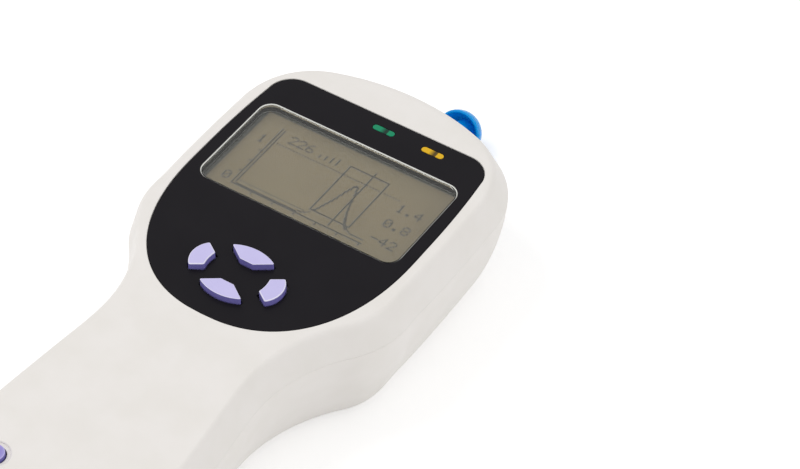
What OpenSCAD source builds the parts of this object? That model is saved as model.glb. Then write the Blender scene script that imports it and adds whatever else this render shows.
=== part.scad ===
// Handheld tympanometer: a two-part housing with a flat front, a tapered rear hull and a probe at
// its crown. The origin lies under the middle of the overall length, on the rest face. X runs
// across the display, Y from the tail to the probe and Z out of the front face.

/* [Housing] */
// Length of the housing from tail to crown
body_length = 190; // [186:0.5:194]
// Width of the head at the parting line
head_width = 80.4; // [79.6:0.2:84]
// Height from the rest face to the front face
body_height = 40; // [39:0.5:43]
// Width of the waist at the parting line
waist_width = 49.4; // [48.6:0.2:53]
// Width of the handle near its tail
tail_width = 64; // [62:0.5:68]
// Distance from the crown to the middle of the window
crown_to_window = 43.6; // [43:0.1:45]
// Distance from the middle of the window to the waist
window_to_waist = 66; // [64:0.5:68]
// Depth of the parting line below the front face
split_drop = 9.5; // [9:0.1:10.2]
// Depth that the rear hull's bowed sides draw in down to the rest face
hull_tuck = 11; // [10:0.25:12]
// Wall thickness of both shells
wall = 2.2; // [1.9:0.1:2.5]
// Thickness of the front face
face_t = 3; // [2.7:0.1:3.1]
// Thickness of the hull's floor
floor_t = 2.2; // [1.8:0.1:2.6]
// Roll-off of the front edge beside the panel
head_roll = 4; // [3.5:0.1:4.6]
// Roll-off of the front edge at the crown
crown_roll = 6.7; // [5.5:0.1:8]
// Roll-off of the front edge along the handle
handle_roll = 3.6; // [3:0.1:4.5]

/* [Front panel] */
// Width of the white rim beside the black panel
panel_rim = 6.2; // [5.4:0.1:6.6]
// Reach of the panel above the middle of the window
panel_up = 27.5; // [27:0.1:28.2]
// Reach of the panel below the middle of the window
panel_down = 54.9; // [54:0.1:56]
// Thickness of the panel
panel_t = 1.35; // [1:0.05:1.5]
// Step from the front face down to the panel
panel_step = 0.15; // [0.05:0.05:0.3]
// Gap round the panel in its recess
panel_gap = 0.12; // [0.08:0.01:0.2]
// Width of the black margin beside the display window
window_margin = 3.85; // [3.6:0.05:4.4]
// Height of the display window
window_h = 31.7; // [30:0.05:32]
// Corner radius of the display window
window_corner = 3.5; // [2:0.25:4.5]
// Width of the flange that holds the window under the panel
window_flange = 1.15; // [0.8:0.05:1.4]

/* [Keys] */
// Distance from the middle of the window to the middle of the key ring
window_to_keys = 39.9; // [39:0.05:40.6]
// Height of the keys above the panel
key_rise = 1.75; // [1.4:0.05:2]
// Travel of each key
key_travel = 0.8; // [0.5:0.05:0.9]
// Gap round a key in the panel and the shell
key_gap = 0.35; // [0.3:0.05:0.45]
// Half length of the upper and lower keys
long_key_half = 6.1; // [5.6:0.1:6.6]
// Reach of the upper and lower keys from the middle of the ring
long_key_reach = 8.8; // [8.5:0.05:9.1]
// Reach of the side keys from the middle of the ring
side_key_reach = 13.53; // [13:0.05:14]
// Diameter of the power key
power_key_d = 5.4; // [5:0.1:6]
// Distance from the window to the power key along the handle
window_to_power = 118; // [116:0.5:119]
// Distance of the power key from the middle line
power_key_x = -14; // [-14.6:0.1:-13.4]

/* [Lenses] */
// Length of the two indicator lenses
lens_l = 6.6; // [6:0.1:7.2]
// Width of the two indicator lenses
lens_w = 1.85; // [1.6:0.05:2.1]
// Distance of the green lens from the right side of the window
green_in = 28.75; // [27:0.05:30]
// Distance of the amber lens from the right side of the window
amber_in = 13.65; // [12.7:0.05:15]
// Height of the lenses above the middle of the window
lens_up = 23.4; // [23:0.1:23.8]

/* [Board] */
// Thickness of the main board
board_t = 1.6; // [1.2:0.1:1.6]
// Distance of the board's edge from the outside of the housing
board_inset = 4.6; // [4.4:0.1:5.5]
// Radius of the screw towers
tower_r = 3.6; // [3.4:0.1:3.7]
// Diameter of the housing screws
screw_d = 2.9; // [2.6:0.1:3]

/* [Batteries] */
// Diameter of a battery cell
cell_d = 14.2; // [14:0.1:14.4]
// Length of a battery cell without its nub
cell_l = 49.2; // [48.5:0.1:49.5]
// Level of the cut between the hull and the battery cover
cover_z = 14; // [13:0.25:15]
// Hold of the battery cover's hooks behind the cross wall
hook_hold = 2.4; // [1.8:0.1:3]

/* [Pump] */
// Height of the pump's axis above the rest face
pump_z = 13.5; // [13:0.25:14.5]
// Bore of the pump's cylinder
pump_bore = 16; // [15:0.2:16.6]
// Diameter of the pump's motor
motor_d = 15.5; // [14:0.5:16]
// Half of the piston's stroke
half_stroke = 6; // [4:0.5:6.5]
// Diameter of the pump's screw
lead_screw_d = 4; // [3.6:0.1:4.4]

/* [Probe] */
// Reach of the ear tip beyond the crown
probe_reach = 25; // [24:0.1:26]
// Tilt of the probe below the middle line in degrees
probe_tilt = 26; // [24:0.5:28]
// Height of the ear tip's rim above the rest face
rim_z = 7.2; // [7:0.1:8]
// Diameter of the ear tip
ear_tip_d = 13.2; // [12.6:0.1:13.6]
// Diameter of the probe's acoustic core
core_d = 13; // [12.6:0.1:13.4]
// Diameter of the tip that carries the ear tip
tip_d = 5; // [4.6:0.1:5.2]

/* [Hidden] */
$fn = 64;
eps = 0.01;

// Clearances
seat_gap = 0.1;
free_gap = 0.3;
running_gap = 0.05;

// Main levels and stations
parting_z = body_height - split_drop;
overall = body_length + probe_reach;
tail_y = -overall / 2;
crown_y = tail_y + body_length;
window_y = crown_y - crown_to_window;
waist_y = window_y - window_to_waist;
keys_y = window_y - window_to_keys;
head = head_width / 2;
waist = waist_width / 2;
tail = tail_width / 2;
panel_half = head - panel_rim;
window_w = 2 * (panel_half - window_margin);
green_x = window_w / 2 - green_in;
amber_x = window_w / 2 - amber_in;

// Outline of the housing at the parting line, as arcs that run into each other
crown_r = 68;
corner_r = 24.5;
side_r = 500;
side_in = 0.4;
shoulder_r = 24;
waist_r = 40;
tail_corner_r = 17.5;
tail_r = 80;
flare_l = 97;
tail_in = 0.45;
shoulder_in = 0.22;
corner_x = head - side_in - corner_r;
corner_c = [corner_x, crown_y - crown_r + sqrt(pow(crown_r - corner_r, 2) - pow(corner_x, 2))];
waist_c = [waist + waist_r, waist_y];
shoulder_x = head - shoulder_in - shoulder_r;
shoulder_y = waist_y + sqrt(pow(shoulder_r + waist_r, 2) - pow(waist_c[0] - shoulder_x, 2));
shoulder_c = [shoulder_x, shoulder_y];
tail_x = tail - tail_in - tail_corner_r;
tail_c = [tail_x, tail_y + tail_r - sqrt(pow(tail_r - tail_corner_r, 2) - pow(tail_x, 2))];
crown_turn = asin(corner_x / (crown_r - corner_r));
shoulder_turn = asin((shoulder_y - waist_y) / (shoulder_r + waist_r));
tail_turn = asin(tail_x / (tail_r - tail_corner_r));
flare_lag = waist_r * (tail - waist) * PI / (4 * flare_l);
flare_start = 5;
side_start = 3;

function on_arc(centre, r, angles) = [for (a = angles) centre + r * [cos(a), sin(a)]];
function middles(n) = [for (k = [0 : n - 1]) (k + 0.5) / n];
function stations(from, to, n) = [for (k = [0 : n - 1]) from + (to - from) * k / (n - 1)];
function handle_half(y) = waist + (tail - waist) * sin(90 * min(1, (waist_y - y - flare_lag) / flare_l));

half_outline = concat(
    [for (k = [0 : 4]) let (a = crown_turn * k / 4.5) [crown_r * sin(a), crown_y - crown_r * (1 - cos(a))]],
    on_arc(corner_c, corner_r, [for (f = middles(8)) (90 - crown_turn) * (1 - f)]),
    [for (y = stations(corner_c[1] - side_start, shoulder_y + side_start, 5))
        [head - pow(y - window_y + 4, 2) / (2 * side_r), y]],
    on_arc(shoulder_c, shoulder_r, [for (f = middles(6)) -shoulder_turn * f]),
    on_arc(waist_c, waist_r, [for (f = middles(6)) 180 - shoulder_turn * (1 - f)]),
    [for (y = stations(waist_y - flare_start, tail_c[1] + side_start, 8)) [handle_half(y), y]],
    on_arc(tail_c, tail_corner_r, [for (f = middles(7)) (tail_turn - 90) * f]),
    [for (k = [2 : -1 : 0]) let (a = tail_turn * k / 2.5) [tail_r * sin(a), tail_y + tail_r * (1 - cos(a))]]
);

function mirrored(p) = [-p[0], p[1]];
outline = concat(half_outline, [for (i = [len(half_outline) - 2 : -1 : 1]) mirrored(half_outline[i])]);
ring_n = len(outline);

function edge_normal(i) = let (d = outline[(i + 1) % ring_n] - outline[i % ring_n]) [d[1], -d[0]] / norm(d);
function mitre(a, b) = (a + b) / (1 + a * b);
function roll_at(y) = lookup(y, [
    [tail_y, handle_roll], [waist_y, handle_roll], [window_y - 25, head_roll],
    [window_y + 15, head_roll], [crown_y, crown_roll]
]);
normals = [for (i = [0 : ring_n - 1]) mitre(edge_normal(i + ring_n - 1), edge_normal(i))];
rolls = [for (p = outline) roll_at(p[1])];

// One ring of the housing at height z, drawn in by an even inset and a share of the roll-off
function ring(z, inset, share = 0) =
    [for (i = [0 : ring_n - 1])
        let (p = outline[i] + normals[i] * (inset + share * rolls[i])) [p[0], p[1], z]];

// A closed solid through a list of rings, each mirrored about X = 0, from an upward cap onwards
module loft(rings) {
    n = len(rings[0]);
    last = len(rings) - 1;
    cap = [for (i = [0 : n / 2 - 1]) each i == 0 ? [[0, 1, n - 1]]
        : i == n / 2 - 1 ? [[i, i + 1, n - i]]
        : [[i, i + 1, n - i], [i + 1, n - i - 1, n - i]]];
    sides = [for (k = [0 : last - 1]) for (i = [0 : n - 1]) let (j = (i + 1) % n) each [
        [k * n + i, (k + 1) * n + i, (k + 1) * n + j], [k * n + i, (k + 1) * n + j, k * n + j]]];
    end = [for (f = cap) [last * n + f[2], last * n + f[1], last * n + f[0]]];
    polyhedron(points = [for (r = rings) each r], faces = concat(cap, sides, end), convexity = 8);
}

// Front shell
recess_floor = body_height - panel_step - panel_t;
ceiling_z = body_height - face_t;
// Its section as shares of the roll-off and of the drop, from the flat face down the steep side
front_steps = [[1, 0], [0.88, 0.008], [0.77, 0.035], [0.67, 0.085], [0.59, 0.16], [0.54, 0.25], [0, 1]];

module front_skin() {
    depth = split_drop - face_t;
    inner_steps = [[0, 0], [0, (lip_h + free_gap) / depth], [0.45, 0.55], [0.6, 0.9], [0.85, 1]];
    loft(concat(
        [for (s = front_steps) ring(body_height - split_drop * s[1], 0, s[0])],
        [for (s = inner_steps) ring(parting_z + depth * s[1], wall, s[0])]
    ));
}

// Rear shell: inside floor, inside wall, locating lip and bowed outside wall
hull_levels = [24, 17, 10.5, 5.5, 2.4, 0.7, 0];
lip_h = 1.5;
lip_t = 1.2;
lip_gap = 0.2;
wall_run = wall * 1.05;
bow = 1.52;
tower_inset = 0.5;

// How far the hull's bowed wall is drawn in at height z, and the angle of the wall there
function hull_inset(z) =
    let (d = min(1, max(0, 1 - z / parting_z))) hull_tuck * (1 - pow(1 - pow(d, bow), 1 / bow));
function hull_slope(z) = atan((hull_inset(z - 0.5) - hull_inset(z + 0.5)));
function hull_inner(z) = wall_run + hull_inset(z);

module hull_skin() {
    lip_in = wall + 0.2 + lip_gap;
    loft(concat(
        [for (z = [floor_t, floor_t + 1.5, floor_t + 4, floor_t + 9, parting_z - 9]) ring(z, hull_inner(z))],
        [
            ring(parting_z - 3, hull_inner(parting_z - 3)),
            ring(parting_z - 1, lip_in + lip_t),
            ring(parting_z + lip_h, lip_in + lip_t),
            ring(parting_z + lip_h, lip_in + 0.15),
            ring(parting_z, lip_in),
            ring(parting_z, 0)
        ],
        [for (z = hull_levels) ring(z, hull_inset(z))]
    ));
}

// Panel outline: a superellipse below, bowed sides and a straight top with rounded corners
panel_corner_r = 7;
panel_side_r = 228;
panel_bow_y = -11;
panel_power = 2 / 2.3;

function panel_side(y) = panel_half - pow(max(0, y - panel_bow_y / 4), 2) / (2 * panel_side_r);
function panel_points(grow) =
    let (
        corner_y = panel_up - panel_corner_r,
        corner = [panel_side(corner_y) - panel_corner_r, corner_y],
        right = concat(
            [for (a = [90 : -15 : 0]) corner + (panel_corner_r + grow) * [cos(a), sin(a)]],
            [for (y = stations(corner_y * 0.6, panel_bow_y / 4, 3)) [panel_side(y) + grow, y]],
            [for (t = [0 : 7.5 : 82.5]) [
                (panel_half + grow) * pow(cos(t), panel_power),
                panel_bow_y - (panel_down + panel_bow_y + grow) * pow(sin(t), panel_power)]]
        )
    )
    concat(right, [[0, -panel_down - grow]], [for (i = [len(right) - 1 : -1 : 0]) mirrored(right[i])]);

module panel_shape(grow = 0) {
    translate([0, window_y]) polygon(panel_points(grow));
}

module rounded_rect(w, h, r) {
    steps = [0 : 15 : 90];
    polygon(concat(
        on_arc([w / 2 - r, h / 2 - r], r, steps),
        on_arc([r - w / 2, h / 2 - r], r, [for (a = steps) a + 90]),
        on_arc([r - w / 2, r - h / 2], r, [for (a = steps) a + 180]),
        on_arc([w / 2 - r, r - h / 2], r, [for (a = steps) a + 270])
    ));
}

module window_shape(grow = 0) {
    translate([0, window_y])
        rounded_rect(window_w + 2 * grow, window_h + 2 * grow, max(0.5, window_corner + grow));
}

module pill(l, w) {
    square([l - w, w], center = true);
    for (s = [-1, 1]) translate([s * (l - w) / 2, 0]) circle(d = w);
}

// Key outlines, drawn about the middle of the ring and grown by a gap
long_arc_r = 12.5;
long_key_end = 7.2;
long_key_flat = [1.95, 4.05];
side_arc_r = 6.07;
side_key_inner_r = 8.6;
side_key_cut = [2.4, 4.53];

module long_key_shape(grow = 0) {
    half = long_key_half + grow;
    centre_y = long_key_reach - long_arc_r;
    r = long_arc_r + grow;
    edge = asin(half / r);
    polygon(concat(
        on_arc([0, centre_y], r, [for (k = [-6 : 6]) 90 - edge * k / 6]),
        [
            [half, long_key_end - 0.3 - grow * 0.6],
            [long_key_flat[0] + grow * 0.4, long_key_flat[1] - grow],
            [-long_key_flat[0] - grow * 0.4, long_key_flat[1] - grow],
            [-half, long_key_end - 0.3 - grow * 0.6]
        ]
    ));
}

module side_key_shape(grow = 0) {
    centre_x = side_key_reach - side_arc_r;
    r = side_arc_r + grow;
    r_in = side_key_inner_r - grow;
    cut = side_key_cut[1] + grow;
    edge = asin(cut / r);
    inner = asin((side_key_cut[0] + grow) / r_in);
    polygon(concat(
        on_arc([centre_x, 0], r, [for (k = [-5 : 5]) edge * k / 5]),
        on_arc([0, 0], r_in, [for (k = [3 : -1 : -3]) inner * k / 3])
    ));
}

// The four places of the key ring: up, left, down and right
module key_place(index) {
    translate([0, keys_y]) {
        if (index == 0) children();
        if (index == 1) rotate(180) children();
        if (index == 2) mirror([0, 1]) children();
        if (index == 3) children();
    }
}

module key_shape(index, grow = 0) {
    key_place(index) {
        if (index % 2 == 0) long_key_shape(grow);
        else side_key_shape(grow);
    }
}

key_top = body_height - panel_step + key_rise;
key_flange = 0.9;
key_flange_t = 1;
board_top = parting_z + 1.3;
board_bottom = board_top - board_t;
flange_top = ceiling_z - free_gap;
key_bottom = flange_top - key_flange_t;
plunger_d = 3.4;
plunger_end = board_top + 2.9;
mat_t = 0.6;
mat_top = plunger_end - key_travel - 0.15;

function plunger_at(index) =
    index == 0 ? [0, keys_y + 6.3]
    : index == 2 ? [0, keys_y - 6.3]
    : [(index == 3 ? 1 : -1) * 10.9, keys_y];

// Housing screws: two by the crown, two at the shoulders and two in the battery bay
crown_screw = corner_c + [9.3, 7.3];
shoulder_screw = shoulder_c + [7.6, -2.8];
bay_screw = tail_c + 9 * [cos(-45), sin(-45)];
bay_tower_r = 3.4;
head_z = board_bottom - 8;
bay_head_z = parting_z - 8;
screw_head_d = 5.6;
screw_l = 13;

module both_sides() {
    children();
    mirror([1, 0, 0]) children();
}

module at(p, z = 0) {
    translate([p[0], p[1], z]) children();
}

// Battery bay, laid out from the tail
stack_low_z = floor_t + 1.6 + cell_d / 2;
stack_high_z = stack_low_z + cell_d + 0.3;
cell_x = cell_d / 2 + 0.2;
holder_end_t = 2;
contact_room = 5;
holder_l = cell_l + contact_room + 2 * holder_end_t;
holder_y0 = tail_y + hull_inner(floor_t) + 1;
holder_y1 = holder_y0 + holder_l;
bulkhead_y = holder_y1 + free_gap;
bulkhead_t = 1.6;
cover_gap = 0.2;

// Pump, laid out from the bulkhead towards the head
motor_l = 24;
plate_t = 1.5;
motor_y = bulkhead_y + bulkhead_t + 1.5;
mount_y = motor_y + motor_l;
coupling_y = mount_y + plate_t + 1;
coupling_l = 7.5;
screw_y = coupling_y + coupling_l - 3.5;
piston_y = coupling_y + coupling_l + 31.5;
piston_head = 6;
sleeve_l = 19;
lug_t = 2.5;
screw_end_y = piston_y - half_stroke - 2.2;
cylinder_wall = 1.6;
cylinder_r = pump_bore / 2 + cylinder_wall;
cylinder_y0 = piston_y - piston_head - 8;
cylinder_y1 = piston_y + half_stroke + 2;
guide_d = 2.5;
guide_r = 10.2;
spigot_r = 0.95;
spigot_l = 4;

// Lays a body of revolution along +Y on the pump's axis, with its zero at y
module along_pump(y) {
    translate([0, y, pump_z]) rotate([-90, 0, 0]) children();
}

// Probe axis: from the hull's end wall through the middle of the ear tip's rim
rim_y = overall / 2 - ear_tip_d / 2;
root_z = 17.4;
rim_s = (root_z - rim_z) / sin(probe_tilt);
root_y = rim_y - rim_s * cos(probe_tilt);
collar_r = 10.8;
collar_in = -5.4;
collar_out = 1.7;
core_r = core_d / 2;
core_back = -12.4;
core_front = 6.8;
core_flange_r = 8.9;
core_flange_t = 2;
core_spigot_l = 2.2;

module on_probe() {
    translate([0, root_y, root_z]) rotate([-90 - probe_tilt, 0, 0]) children();
}

// Points in the plane across X = 0 along the probe's axis, with an offset square to it
function probe_point(s, side) = [
    root_y + s * cos(probe_tilt) - side * sin(probe_tilt),
    root_z - s * sin(probe_tilt) - side * cos(probe_tilt)
];

pump_port = [0, 3.9];
sensor_port = [3, -3];
microphone_at = [3.7, 1.4];
receiver_at = [-2.8, -1.8];
receiver_size = [4.4, 3.2, 4];
microphone_r = 1.6;

module front_shell() {
    color([0.93, 0.92, 0.9]) difference() {
        union() {
            front_skin();
            both_sides() {
                at(crown_screw, board_top) cylinder(r = tower_r, h = ceiling_z - board_top + 0.5);
                at(shoulder_screw, board_top) cylinder(r = tower_r, h = ceiling_z - board_top + 0.5);
                at(bay_screw, parting_z + seat_gap)
                    cylinder(r = bay_tower_r, h = ceiling_z - parting_z + 0.4);
            }
            for (p = power_screws)
                at(p, power_board_top) cylinder(d = 4.4, h = ceiling_z - power_board_top + 0.5);
            for (p = board_screw_places) at(p, board_top) cylinder(d = 5, h = ceiling_z - board_top + 0.5);
        }
        translate([0, 0, recess_floor]) linear_extrude(panel_t + panel_step + 1) panel_shape(panel_gap);
        translate([0, 0, ceiling_z - 1]) linear_extrude(face_t) window_shape(window_flange + seat_gap);
        for (i = [0 : 3])
            translate([0, 0, ceiling_z - 1]) linear_extrude(face_t) key_shape(i, key_gap);
        for (x = [green_x, amber_x])
            translate([x, window_y + lens_up, ceiling_z - 1])
                linear_extrude(face_t) pill(lens_l + 0.2, lens_w + 0.2);
        at([power_key_x, window_y - window_to_power], ceiling_z - 1)
            cylinder(d = power_key_d + 2 * key_gap, h = face_t + 2);
        at([power_key_x, window_y - window_to_power], body_height - 0.5)
            cylinder(d = power_key_d + 2.6, h = 2);
        both_sides() {
            at(crown_screw, board_top - 1) cylinder(d = screw_d + 2 * running_gap, h = 5.4);
            at(shoulder_screw, board_top - 1) cylinder(d = screw_d + 2 * running_gap, h = 5.4);
            at(bay_screw, parting_z - 1) cylinder(d = screw_d + 2 * running_gap, h = 6.6);
        }
        for (p = power_screws) at(p, power_board_top - 1) cylinder(d = 1.9, h = 3.4);
        for (p = board_screw_places) at(p, board_top - 1) cylinder(d = 1.9, h = 5);
    }
}

// A screw tower that ends inside the hull's bowed wall
module hull_tower(p, centre, r) {
    intersection() {
        at(p, floor_t) cylinder(r = tower_r, h = board_bottom - floor_t);
        at(centre, 0) rotate_extrude() polygon(concat(
            [[0, board_bottom]],
            [for (z = [board_bottom, each hull_levels]) [r - hull_inset(z) - tower_inset, z]],
            [[0, 0]]
        ));
    }
}

module rear_shell() {
    color([0.92, 0.91, 0.89]) difference() {
        union() {
            hull_skin();
            both_sides() {
                hull_tower(crown_screw, corner_c, corner_r);
                hull_tower(shoulder_screw, shoulder_c, shoulder_r);
                at(bay_screw, bay_head_z) cylinder(r = bay_tower_r, h = parting_z - bay_head_z);
                at(tail_c, bay_head_z) rotate(-45) translate([9, -0.8, 0])
                    cube([tail_corner_r - hull_inset(bay_head_z) - 10, 1.6, parting_z - bay_head_z - 1.2]);
            }
            bulkhead();
            for (y = pump_post_y)
                translate([0, y, floor_t - 0.5]) cylinder(d = 6, h = pump_base_z - floor_t + 0.5);
            on_probe() translate([0, 0, collar_in]) cylinder(r = collar_r, h = collar_out - collar_in);
        }
        both_sides() {
            for (p = [crown_screw, shoulder_screw]) at(p) {
                translate([0, 0, -1]) cylinder(d = screw_head_d + 0.8, h = head_z + 1);
                cylinder(d = screw_d + 0.4, h = board_bottom + 1);
            }
            at(bay_screw, bay_head_z - 1) cylinder(d = screw_d + 0.4, h = parting_z);
        }
        translate([-tail_width, tail_y - 10, -1])
            cube([2 * tail_width, bulkhead_y + cover_gap - tail_y + 10, cover_z + cover_gap + 1]);
        for (x = [-hook_x, hook_x])
            translate([x - hook_w / 2 - free_gap, bulkhead_y - 1, floor_t + 0.1])
                cube([hook_w + 2 * free_gap, 6, hook_t + 2 * free_gap]);
        translate([-5, bulkhead_y - 1, parting_z - 4]) cube([10, bulkhead_t + 2, 6]);
        for (y = pump_post_y) translate([0, y, floor_t + 0.3]) cylinder(d = 2.1, h = 10);
        on_probe() translate([0, 0, collar_in - 1])
            cylinder(r = core_r + running_gap, h = collar_out - collar_in + 2);
        on_tail() infrared_cut();
    }
}

// Cross wall between the pump room and the battery bay
module bulkhead() {
    function room(z) = handle_half(bulkhead_y) - hull_inset(z) - 1;
    low = floor_t - 0.5;
    high = parting_z - 1.2;
    translate([0, bulkhead_y + bulkhead_t, 0]) rotate([90, 0, 0]) linear_extrude(bulkhead_t)
        polygon([[-room(low), low], [room(low), low], [room(high), high], [-room(high), high]]);
}

hook_x = 7;
hook_w = 7;
hook_t = 1;
hook_root = 1;
grip_l = 24;
grip_step = 3.2;
grip_r = 1.5;
grip_depth = 0.6;

module battery_cover() {
    color([0.91, 0.9, 0.88]) {
        difference() {
            intersection() {
                hull_skin();
                translate([-tail_width, tail_y - 10, -1])
                    cube([2 * tail_width, bulkhead_y - cover_gap - tail_y + 10, cover_z + 1]);
            }
            for (i = [0 : 4]) translate([-grip_l / 2, bulkhead_y - 12 - grip_step * i, grip_depth - grip_r])
                rotate([0, 90, 0]) cylinder(r = grip_r, h = grip_l);
        }
        for (x = [-hook_x, hook_x])
            translate([x - hook_w / 2, bulkhead_y - cover_gap - 4, floor_t - 0.3])
                cube([hook_w, 4, 0.3 + free_gap + hook_t]);
        for (x = [-hook_x, hook_x])
            translate([x - hook_w / 2, bulkhead_y - cover_gap - hook_root, floor_t + free_gap])
                cube([hook_w, hook_root + cover_gap + hook_hold, hook_t]);
    }
}

module housing_screws() {
    color("silver") both_sides() {
        for (p = [crown_screw, shoulder_screw]) at(p, head_z) screw(screw_d, screw_head_d, screw_l);
        at(bay_screw, bay_head_z) screw(screw_d, screw_head_d, screw_l);
    }
}

// A pan head below z = 0 with a cross recess, and its shank upwards
module screw(d, head_d, l) {
    head_t = head_d * 0.4;
    difference() {
        union() {
            translate([0, 0, -head_t]) cylinder(d = head_d, h = head_t);
            cylinder(d = d, h = l - 1);
            translate([0, 0, l - 1]) cylinder(d1 = d, d2 = d * 0.4, h = 1);
        }
        for (a = [0, 90]) rotate(a) translate([-head_d * 0.3, -head_d * 0.08, -head_t - 1])
            cube([head_d * 0.6, head_d * 0.16, 1 + head_t * 0.5]);
    }
}

// Infrared window, square to the tail's wall
ir_z = (cover_z + parting_z) / 2 + 0.4;
ir_size = [13, 6.4];
ir_t = 1.5;

module on_tail() {
    translate([0, tail_y + hull_inset(ir_z), ir_z]) rotate([90 + hull_slope(ir_z), 0, 0]) children();
}

module infrared_cut() {
    translate([0, 0, -ir_t]) linear_extrude(5) rounded_rect(ir_size[0] + 0.2, ir_size[1] + 0.2, 1.6);
    translate([0, 0, -wall - 4]) linear_extrude(8) rounded_rect(ir_size[0] - 2, ir_size[1] - 2, 0.8);
}

module infrared_window() {
    color([0.2, 0.03, 0.06]) on_tail() translate([0, 0, -ir_t])
        linear_extrude(ir_t) rounded_rect(ir_size[0], ir_size[1], 1.5);
}

module infrared_emitter() {
    color([0.3, 0.3, 0.4]) on_tail() translate([0, 0, -wall - 0.45]) {
        translate([0, 0, -1.6]) linear_extrude(1.2) rounded_rect(12, 6.4, 0.6);
        translate([0, 0, -0.4]) cylinder(d = 4, h = 0.8);
        for (s = [-1, 1]) translate([s * 5, 0, -0.5]) cylinder(d = 1.6, h = 0.5);
    }
}

module front_panel() {
    color([0.13, 0.12, 0.15]) translate([0, 0, recess_floor]) linear_extrude(panel_t) difference() {
        panel_shape();
        window_shape(seat_gap);
        for (i = [0 : 3]) key_shape(i, key_gap);
        for (x = [green_x, amber_x]) translate([x, window_y + lens_up]) pill(lens_l + 0.2, lens_w + 0.2);
    }
}

module display_window() {
    color([0.8, 0.85, 0.85, 0.4]) {
        translate([0, 0, ceiling_z + seat_gap])
            linear_extrude(recess_floor - ceiling_z - 2 * seat_gap) window_shape(window_flange);
        translate([0, 0, recess_floor - seat_gap - eps])
            linear_extrude(panel_t + seat_gap + eps - 0.05) window_shape();
    }
}

module lens(x, tint) {
    color(tint) translate([x, window_y + lens_up, 0]) {
        translate([0, 0, ceiling_z - 1.2]) linear_extrude(body_height - panel_step - ceiling_z + 1.2)
            pill(lens_l, lens_w);
        translate([0, 0, ceiling_z - 1.2]) linear_extrude(1.1) pill(lens_l + 1.6, lens_w + 1.6);
        translate([0, 0, board_top + 1.1]) cylinder(d = 3, h = ceiling_z - 1.1 - board_top);
    }
}

module green_lens() {
    lens(green_x, [0, 0.6, 0.38]);
}

module amber_lens() {
    lens(amber_x, [0.95, 0.75, 0.12]);
}

// Display module on the board: light guide, glass and a frame whose lip carries the window
lcd_frame_z = ceiling_z - seat_gap;
lcd_lip = 0.9;
frame_w = window_w + 6.3;
frame_h = window_h + 7;
glass_w = window_w + 4.2;
glass_h = window_h + 4.2;
glass_t = 2;
glass_top = lcd_frame_z - lcd_lip - seat_gap;

module centred_box(w, h, t) {
    linear_extrude(t) translate([0, window_y]) square([w, h], center = true);
}

module lcd_frame() {
    color([0.15, 0.15, 0.16]) difference() {
        translate([0, 0, board_top]) centred_box(frame_w, frame_h, lcd_frame_z - board_top);
        translate([0, 0, board_top - 1])
            centred_box(glass_w + 0.4, glass_h + 0.4, lcd_frame_z - lcd_lip - board_top + 1);
        translate([0, 0, board_top]) linear_extrude(10) window_shape(0.15);
    }
}

module lcd_glass() {
    color([0.53, 0.5, 0.41]) translate([0, 0, glass_top - glass_t]) centred_box(glass_w, glass_h, glass_t);
}

module backlight() {
    color("white") translate([0, 0, board_top])
        centred_box(glass_w - 1, glass_h - 1, glass_top - glass_t - board_top);
}

module key(index) {
    color([0.78, 0.76, 0.92]) {
        translate([0, 0, key_bottom]) linear_extrude(key_top - 0.3 - key_bottom) key_shape(index);
        translate([0, 0, key_top - 0.3]) linear_extrude(0.3) key_shape(index, -0.22);
        translate([0, 0, key_bottom]) linear_extrude(key_flange_t) key_shape(index, key_flange);
        at(plunger_at(index), plunger_end) cylinder(d = plunger_d, h = key_bottom - plunger_end + eps);
    }
}

module up_key() {
    key(0);
}

module left_key() {
    key(1);
}

module down_key() {
    key(2);
}

module right_key() {
    key(3);
}

module key_mat() {
    color([0.55, 0.55, 0.6]) difference() {
        union() {
            translate([0, keys_y, board_top]) linear_extrude(mat_t) rounded_rect(30, 20, 4);
            for (i = [0 : 3])
                at(plunger_at(i), board_top) cylinder(d1 = 5.8, d2 = 3.8, h = mat_top - board_top);
        }
        for (i = [0 : 3]) at(plunger_at(i), board_top - 1) cylinder(d = 4.2, h = 1.9);
    }
}

module key_switches() {
    color("gainsboro") for (i = [0 : 3]) at(plunger_at(i), board_top) cylinder(d1 = 3.9, d2 = 2.4, h = 0.45);
}

// Small board over the batteries, with the switch that the power key presses
power_at = [power_key_x, window_y - window_to_power];
power_board_top = ceiling_z - 3.2;
power_screws = [for (s = [-1, 1]) power_at + [-1.5, 7.4 * s]];
power_switch_t = 0.8;
power_key_bottom = power_board_top + power_switch_t + key_travel + 0.1;

module power_board() {
    color([0.1, 0.4, 0.2]) {
        difference() {
            translate([power_at[0] + 0.5, power_at[1], power_board_top - 1])
                linear_extrude(1) rounded_rect(13, 20, 1);
            for (p = power_screws) at(p, power_board_top - 2) cylinder(d = 2.2, h = 4);
        }
        at(power_at, power_board_top) cylinder(d = 5, h = power_switch_t);
    }
}

module power_key() {
    color([0.45, 0.42, 0.72]) {
        at(power_at, power_key_bottom) cylinder(d = power_key_d, h = body_height + 0.7 - power_key_bottom);
        at(power_at, power_key_bottom) cylinder(d = power_key_d + 2.4, h = flange_top - power_key_bottom);
    }
}

// Main board: the head's outline drawn in, down to the key ring
board_low_y = keys_y - 11.5;
board_high_y = window_y + 27.5;
board_screw_places = [[-18, keys_y + 1], [18, keys_y + 1]];

module main_board() {
    color([0.1, 0.42, 0.22]) translate([0, 0, board_bottom]) linear_extrude(board_t) difference() {
        intersection() {
            polygon([for (i = [0 : ring_n - 1]) outline[i] + normals[i] * board_inset]);
            translate([-head, board_low_y]) square([2 * head, board_high_y - board_low_y]);
        }
        for (p = [crown_screw, shoulder_screw]) for (s = [-1, 1])
            translate([s * p[0], p[1]]) circle(d = screw_d + 0.4);
        for (p = board_screw_places) translate(p) circle(d = 2.2);
    }
}

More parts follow.
